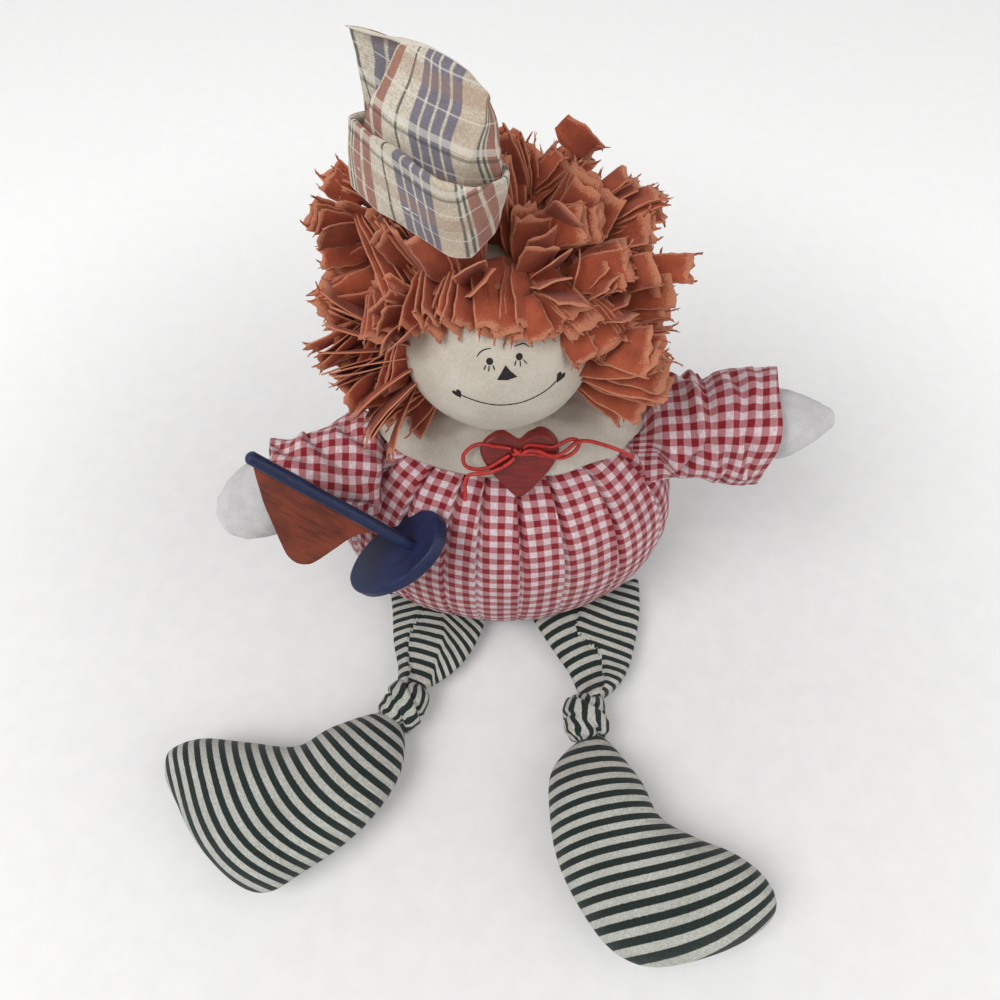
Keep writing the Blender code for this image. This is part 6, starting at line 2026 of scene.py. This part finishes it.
def head_place(across, down, distance):
    """Where a pixel's ray meets a ball round the head, in millimetres from its centre, and the ray."""
    ray = unit(photo_ray(HAIR_VIEW_LEFT + across / HAIR_VIEW_SCALE, down / HAIR_VIEW_SCALE))
    back = (EYE - HEAD_CENTRE) / MM
    along = back @ ray
    reach = -along - math.sqrt(max(along * along - back @ back + distance ** 2, 0.0))
    return back + ray * reach, ray


def marked_stack(mark, nudge):
    """Stack of strips seen in the photograph: root, tip, normal, step, pages, width and bend."""
    root_pixel, tip_pixel, root_out, tip_out, facing, pages, width, shift, bend = mark
    root, ray = head_place(*root_pixel, root_out - 2)
    tip, _ = head_place(*tip_pixel, tip_out)
    run = unit(tip - root)
    toward = unit(-ray + run * (ray @ run))
    facing = math.radians(facing)
    normal = toward * math.cos(facing) + np.cross(toward, run) * math.sin(facing)
    ahead = np.array((0.0, math.cos(EYE_PITCH), -math.sin(EYE_PITCH)))
    below = np.array((0.0, -math.sin(EYE_PITCH), -math.cos(EYE_PITCH)))
    depth = (root - (EYE - HEAD_CENTRE) / MM) @ ahead
    pixel = depth / HAIR_VIEW_SCALE / FOCAL_PIXELS
    step = (np.array((shift[0], 0.0, 0.0)) + below * shift[1]) * pixel + ahead * STACK_DEPTH_STEP
    root, tip = tenths(root) + nudge[0], tenths(tip) + nudge[1]
    return root, tip, hundredths(normal), hundredths(step), pages, width, bend


def foot_stack(index):
    """Stack of strips that stands round the foot of the hat."""
    angle = math.radians(index * FOOT_TURN + FOOT_START)
    across, back = math.cos(angle), math.sin(angle)
    root = tenths(np.array(FOOT_ROOT) + (across * 7.2, back * 5.4, across * 1.08))
    tip = tenths(np.array(FOOT_TIP) + (across * 12.15, back * 8.1, 0.0))
    normal = hundredths((across, back, 0.2))
    return root, tip, normal, hundredths((across * 1.2, back * 1.2, -0.3)), 4, 10, 0.15


def hair_stacks():
    """All the stacks, in the order of their random values."""
    stacks = [marked_stack(mark, STACK_NUDGES.get(number, NO_NUDGE)) for number, mark in enumerate(STACK_MARKS)]
    stacks.insert(1, SECOND_STACK)
    return stacks + [foot_stack(index) for index in range(FOOT_STACKS)]


def back_fans(directions):
    """Directions of more fans, each in the widest gap left behind the head."""
    toward_eye = unit(EYE - HEAD_CENTRE)
    spread = np.random.default_rng(1).normal(size=(9000, 3))
    spread /= np.linalg.norm(spread, axis=1)[:, None]
    behind = (spread @ toward_eye < 0.05) & (spread[:, 2] > -0.50) & (spread[:, 1] > -0.15)
    spread = spread[behind]
    taken = [unit(direction) for direction in directions]
    found = []
    for _ in range(GAP_FANS):
        closest = (spread @ np.array(taken).T).max(1)
        taken.append(spread[int(closest.argmin())])
        found.append(unit(hundredths(taken[-1])))
    return found


def add_pages(strips, index, out):
    """A fan of strips like the pages of an open book, standing out from the head."""
    seed = index * 1.7 + 0.3
    turned = unit(np.cross(out, (0.0, 0.0, 1.0)))
    axis = unit(turned * math.cos(seed * 2.2) + np.cross(out, turned) * math.sin(seed * 2.2))
    fan = np.cross(out, axis)
    in_front = float(out @ unit(EYE - HEAD_CENTRE)) > 0.40
    count = 8 if in_front else 15
    spread = 0.0085 if in_front else 0.0110
    run = 0.0165 if in_front else STRIP_LENGTH * (0.86 if out[2] < -0.2 else 1.0)
    for page in range(count):
        share = (page + 0.5) / count * 2 - 1
        key = seed + page * 0.37
        angle = share * 0.66 + 0.12 * hair_value(page, seed)
        lean = 0.30 * hair_value(page, seed + 5) + (0.30 if page % 3 == 0 else -0.1)
        droop = np.array((0.0, 0.0, -0.07))
        ahead = unit(out * math.cos(angle) + fan * math.sin(angle) + axis * lean * 0.6 + droop)
        flat = unit(axis + out * 0.12 * hair_value(page, seed + 7) + fan * 0.22 * hair_value(page, seed + 8))
        aside = 0.0022 * hair_value(page, seed + 4) + (0.0 if in_front else (page % 3 - 1) * 0.0058)
        root = HEAD_CENTRE + unit(out * HEAD_RADIUS + fan * share * spread + axis * aside) * FAN_ROOT
        length = run * (1.0 + 0.10 * hair_value(page, seed + 6))
        bend = 0.35 * share + 0.30 * hair_value(page, seed + 9)
        width = STRIP_WIDTH * (1.0 + 0.12 * hair_value(page, seed + 10))
        strips.add(root, ahead, flat, length, width, bend, 0.35 * hair_value(page, seed + 11), key)
        if page % 2 == 0 and not in_front:
            strips.fray(0.0026 + 0.0016 * hair_value(page, seed + 13), key)
    return count * run


def add_stack(strips, number, stack):
    """Strips lying on each other like a book's pages, each a little further back and aside."""
    root, tip, normal, step, pages, width, bend = stack
    root, tip, normal, step = (np.array(value) for value in (root, tip, normal, step))
    run = tip - root
    length = np.linalg.norm(run) * MM
    for page in range(pages):
        key = number * 2.3 + page * 0.61
        jog = np.array([hair_value(page, key + shift) for shift in (1, 2, 3)])
        start = HEAD_CENTRE + (root + step * page * 0.55 + jog * 0.5) * MM
        ahead = unit(run + step * page * 1.1 + jog * 1.6)
        tilt = np.array([hair_value(page, key + shift) for shift in (4, 5, 6)])
        side = np.cross(ahead, normal + 0.16 * tilt)
        reach = length * (0.95 + 0.06 * hair_value(page, key + 7))
        strips.add(start - ahead * 0.002, unit(ahead - normal * bend * 0.5), side, reach + 0.002,
                   width * MM * (1.0 + 0.07 * hair_value(page, key + 8)),
                   bend + 0.12 * hair_value(page, key + 9), 0.25 * hair_value(page, key + 10), key)
        strips.fray(0.0012 + 0.0008 * hair_value(page, key + 13), key)
    return pages * length


def make_bunch(index, direction, stacks, behind):
    """One bunch of hair: its own fan of strips, the fans behind it and the stacks nearest to it."""
    strips = Strips()
    total = add_pages(strips, index, unit(direction))
    for number, place in enumerate(behind):
        total += add_pages(strips, index + BUNCHES + number, place)
    for number, stack in stacks:
        total += add_stack(strips, number, stack)
    name = "hair_strips_" + str(index + 1).zfill(2)
    made = add_mesh(name, strips.verts, strips.faces, HAIR, uvs={"cloth": strips.cloth, "rim": strips.rim})
    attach(made, "head")
    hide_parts("hair_bunch_" + str(index + 1).zfill(2))


def make_hair():
    """All the bunches, each with the stacks that start nearest to it."""
    directions = hair_directions()
    shared = [[] for _ in directions]
    stacks = hair_stacks()
    for number, stack in enumerate(stacks):
        middle = unit(np.array(stack[0]) + np.array(stack[1]))
        nearest = int(np.argmax([float(unit(direction) @ middle) for direction in directions]))
        shared[nearest].append(number)
    behind = [[] for _ in directions]
    for direction in [unit(np.array(fan)) for fan in CROWN_FANS] + back_fans(directions):
        nearest = int(np.argmax([float(unit(place) @ direction) for place in directions]))
        behind[nearest].append(direction)
    for index, direction in enumerate(directions):
        own = [(number, stacks[number]) for number in shared[index]]
        make_bunch(index, direction, own, behind[index])


make_hair()


# Floor, light and backdrop

FLOOR_SIZE = 6.0

# Name, size, power and place
LAMPS = (("key", 0.9, 11.0, (-0.75, -0.55, 1.25)), ("fill", 1.2, 4.5, (0.95, -0.5, 0.8)))


def make_stage():
    """Pale floor under a pale sky, with a large soft lamp and a weaker one."""
    bpy.ops.mesh.primitive_plane_add(size=FLOOR_SIZE, location=(0.0, 0.0, 0.0))
    floor = bpy.context.object
    floor.name = "floor"
    shader = Shader("floor", 0.95, specular=0.1)
    place = shader.place()
    x, y = shader.split(place)[:2]
    squares = shader.math("ADD", shader.math("MULTIPLY", x, x), shader.math("MULTIPLY", y, y))
    away = shader.math("SQRT", squares)
    speck = shader.noise(place, 90.0, 2.0)
    base = shader.mix(shader.ramp(speck, 0.3, 0.7), (0.84, 0.835, 0.83), (0.87, 0.865, 0.86))
    paths = shader.tree.nodes.new("ShaderNodeLightPath")
    glow = shader.ramp(away, 0.10, 0.48, 0.05, 0.30)
    lift = shader.math("MULTIPLY", paths.outputs["Is Camera Ray"], glow)
    shader.out.inputs["Emission Color"].default_value = (1.0, 1.0, 1.0, 1.0)
    shader.tree.links.new(lift, shader.out.inputs["Emission Strength"])
    floor.data.materials.append(shader.finish(base))
    for name, size, power, place in LAMPS:
        data = bpy.data.lights.new(name, "AREA")
        data.size = size
        data.energy = power
        lamp = bpy.data.objects.new(name, data)
        lamp.location = place
        lamp.rotation_euler = (Vector((0.0, 0.0, 0.08)) - Vector(place)).to_track_quat("-Z", "Y").to_euler()
        bpy.context.scene.collection.objects.link(lamp)
    world = bpy.data.worlds.new("world")
    bpy.context.scene.world = world
    world.use_nodes = True
    tree = world.node_tree
    back = tree.nodes["Background"]
    back.inputs["Color"].default_value = (1.0, 1.0, 1.0, 1.0)
    paths = tree.nodes.new("ShaderNodeLightPath")
    seen = tree.nodes.new("ShaderNodeMath")
    seen.operation = "MAXIMUM"
    tree.links.new(paths.outputs["Is Camera Ray"], seen.inputs[0])
    glossy = tree.nodes.new("ShaderNodeMath")
    glossy.operation = "MAXIMUM"
    tree.links.new(paths.outputs["Is Glossy Ray"], glossy.inputs[0])
    tree.links.new(paths.outputs["Is Transmission Ray"], glossy.inputs[1])
    tree.links.new(glossy.outputs[0], seen.inputs[1])
    level = tree.nodes.new("ShaderNodeMapRange")
    tree.links.new(seen.outputs[0], level.inputs[0])
    level.inputs[3].default_value = 0.42
    level.inputs[4].default_value = 1.0
    tree.links.new(level.outputs[0], back.inputs["Strength"])
    bpy.context.scene.view_settings.view_transform = "Standard"


make_stage()
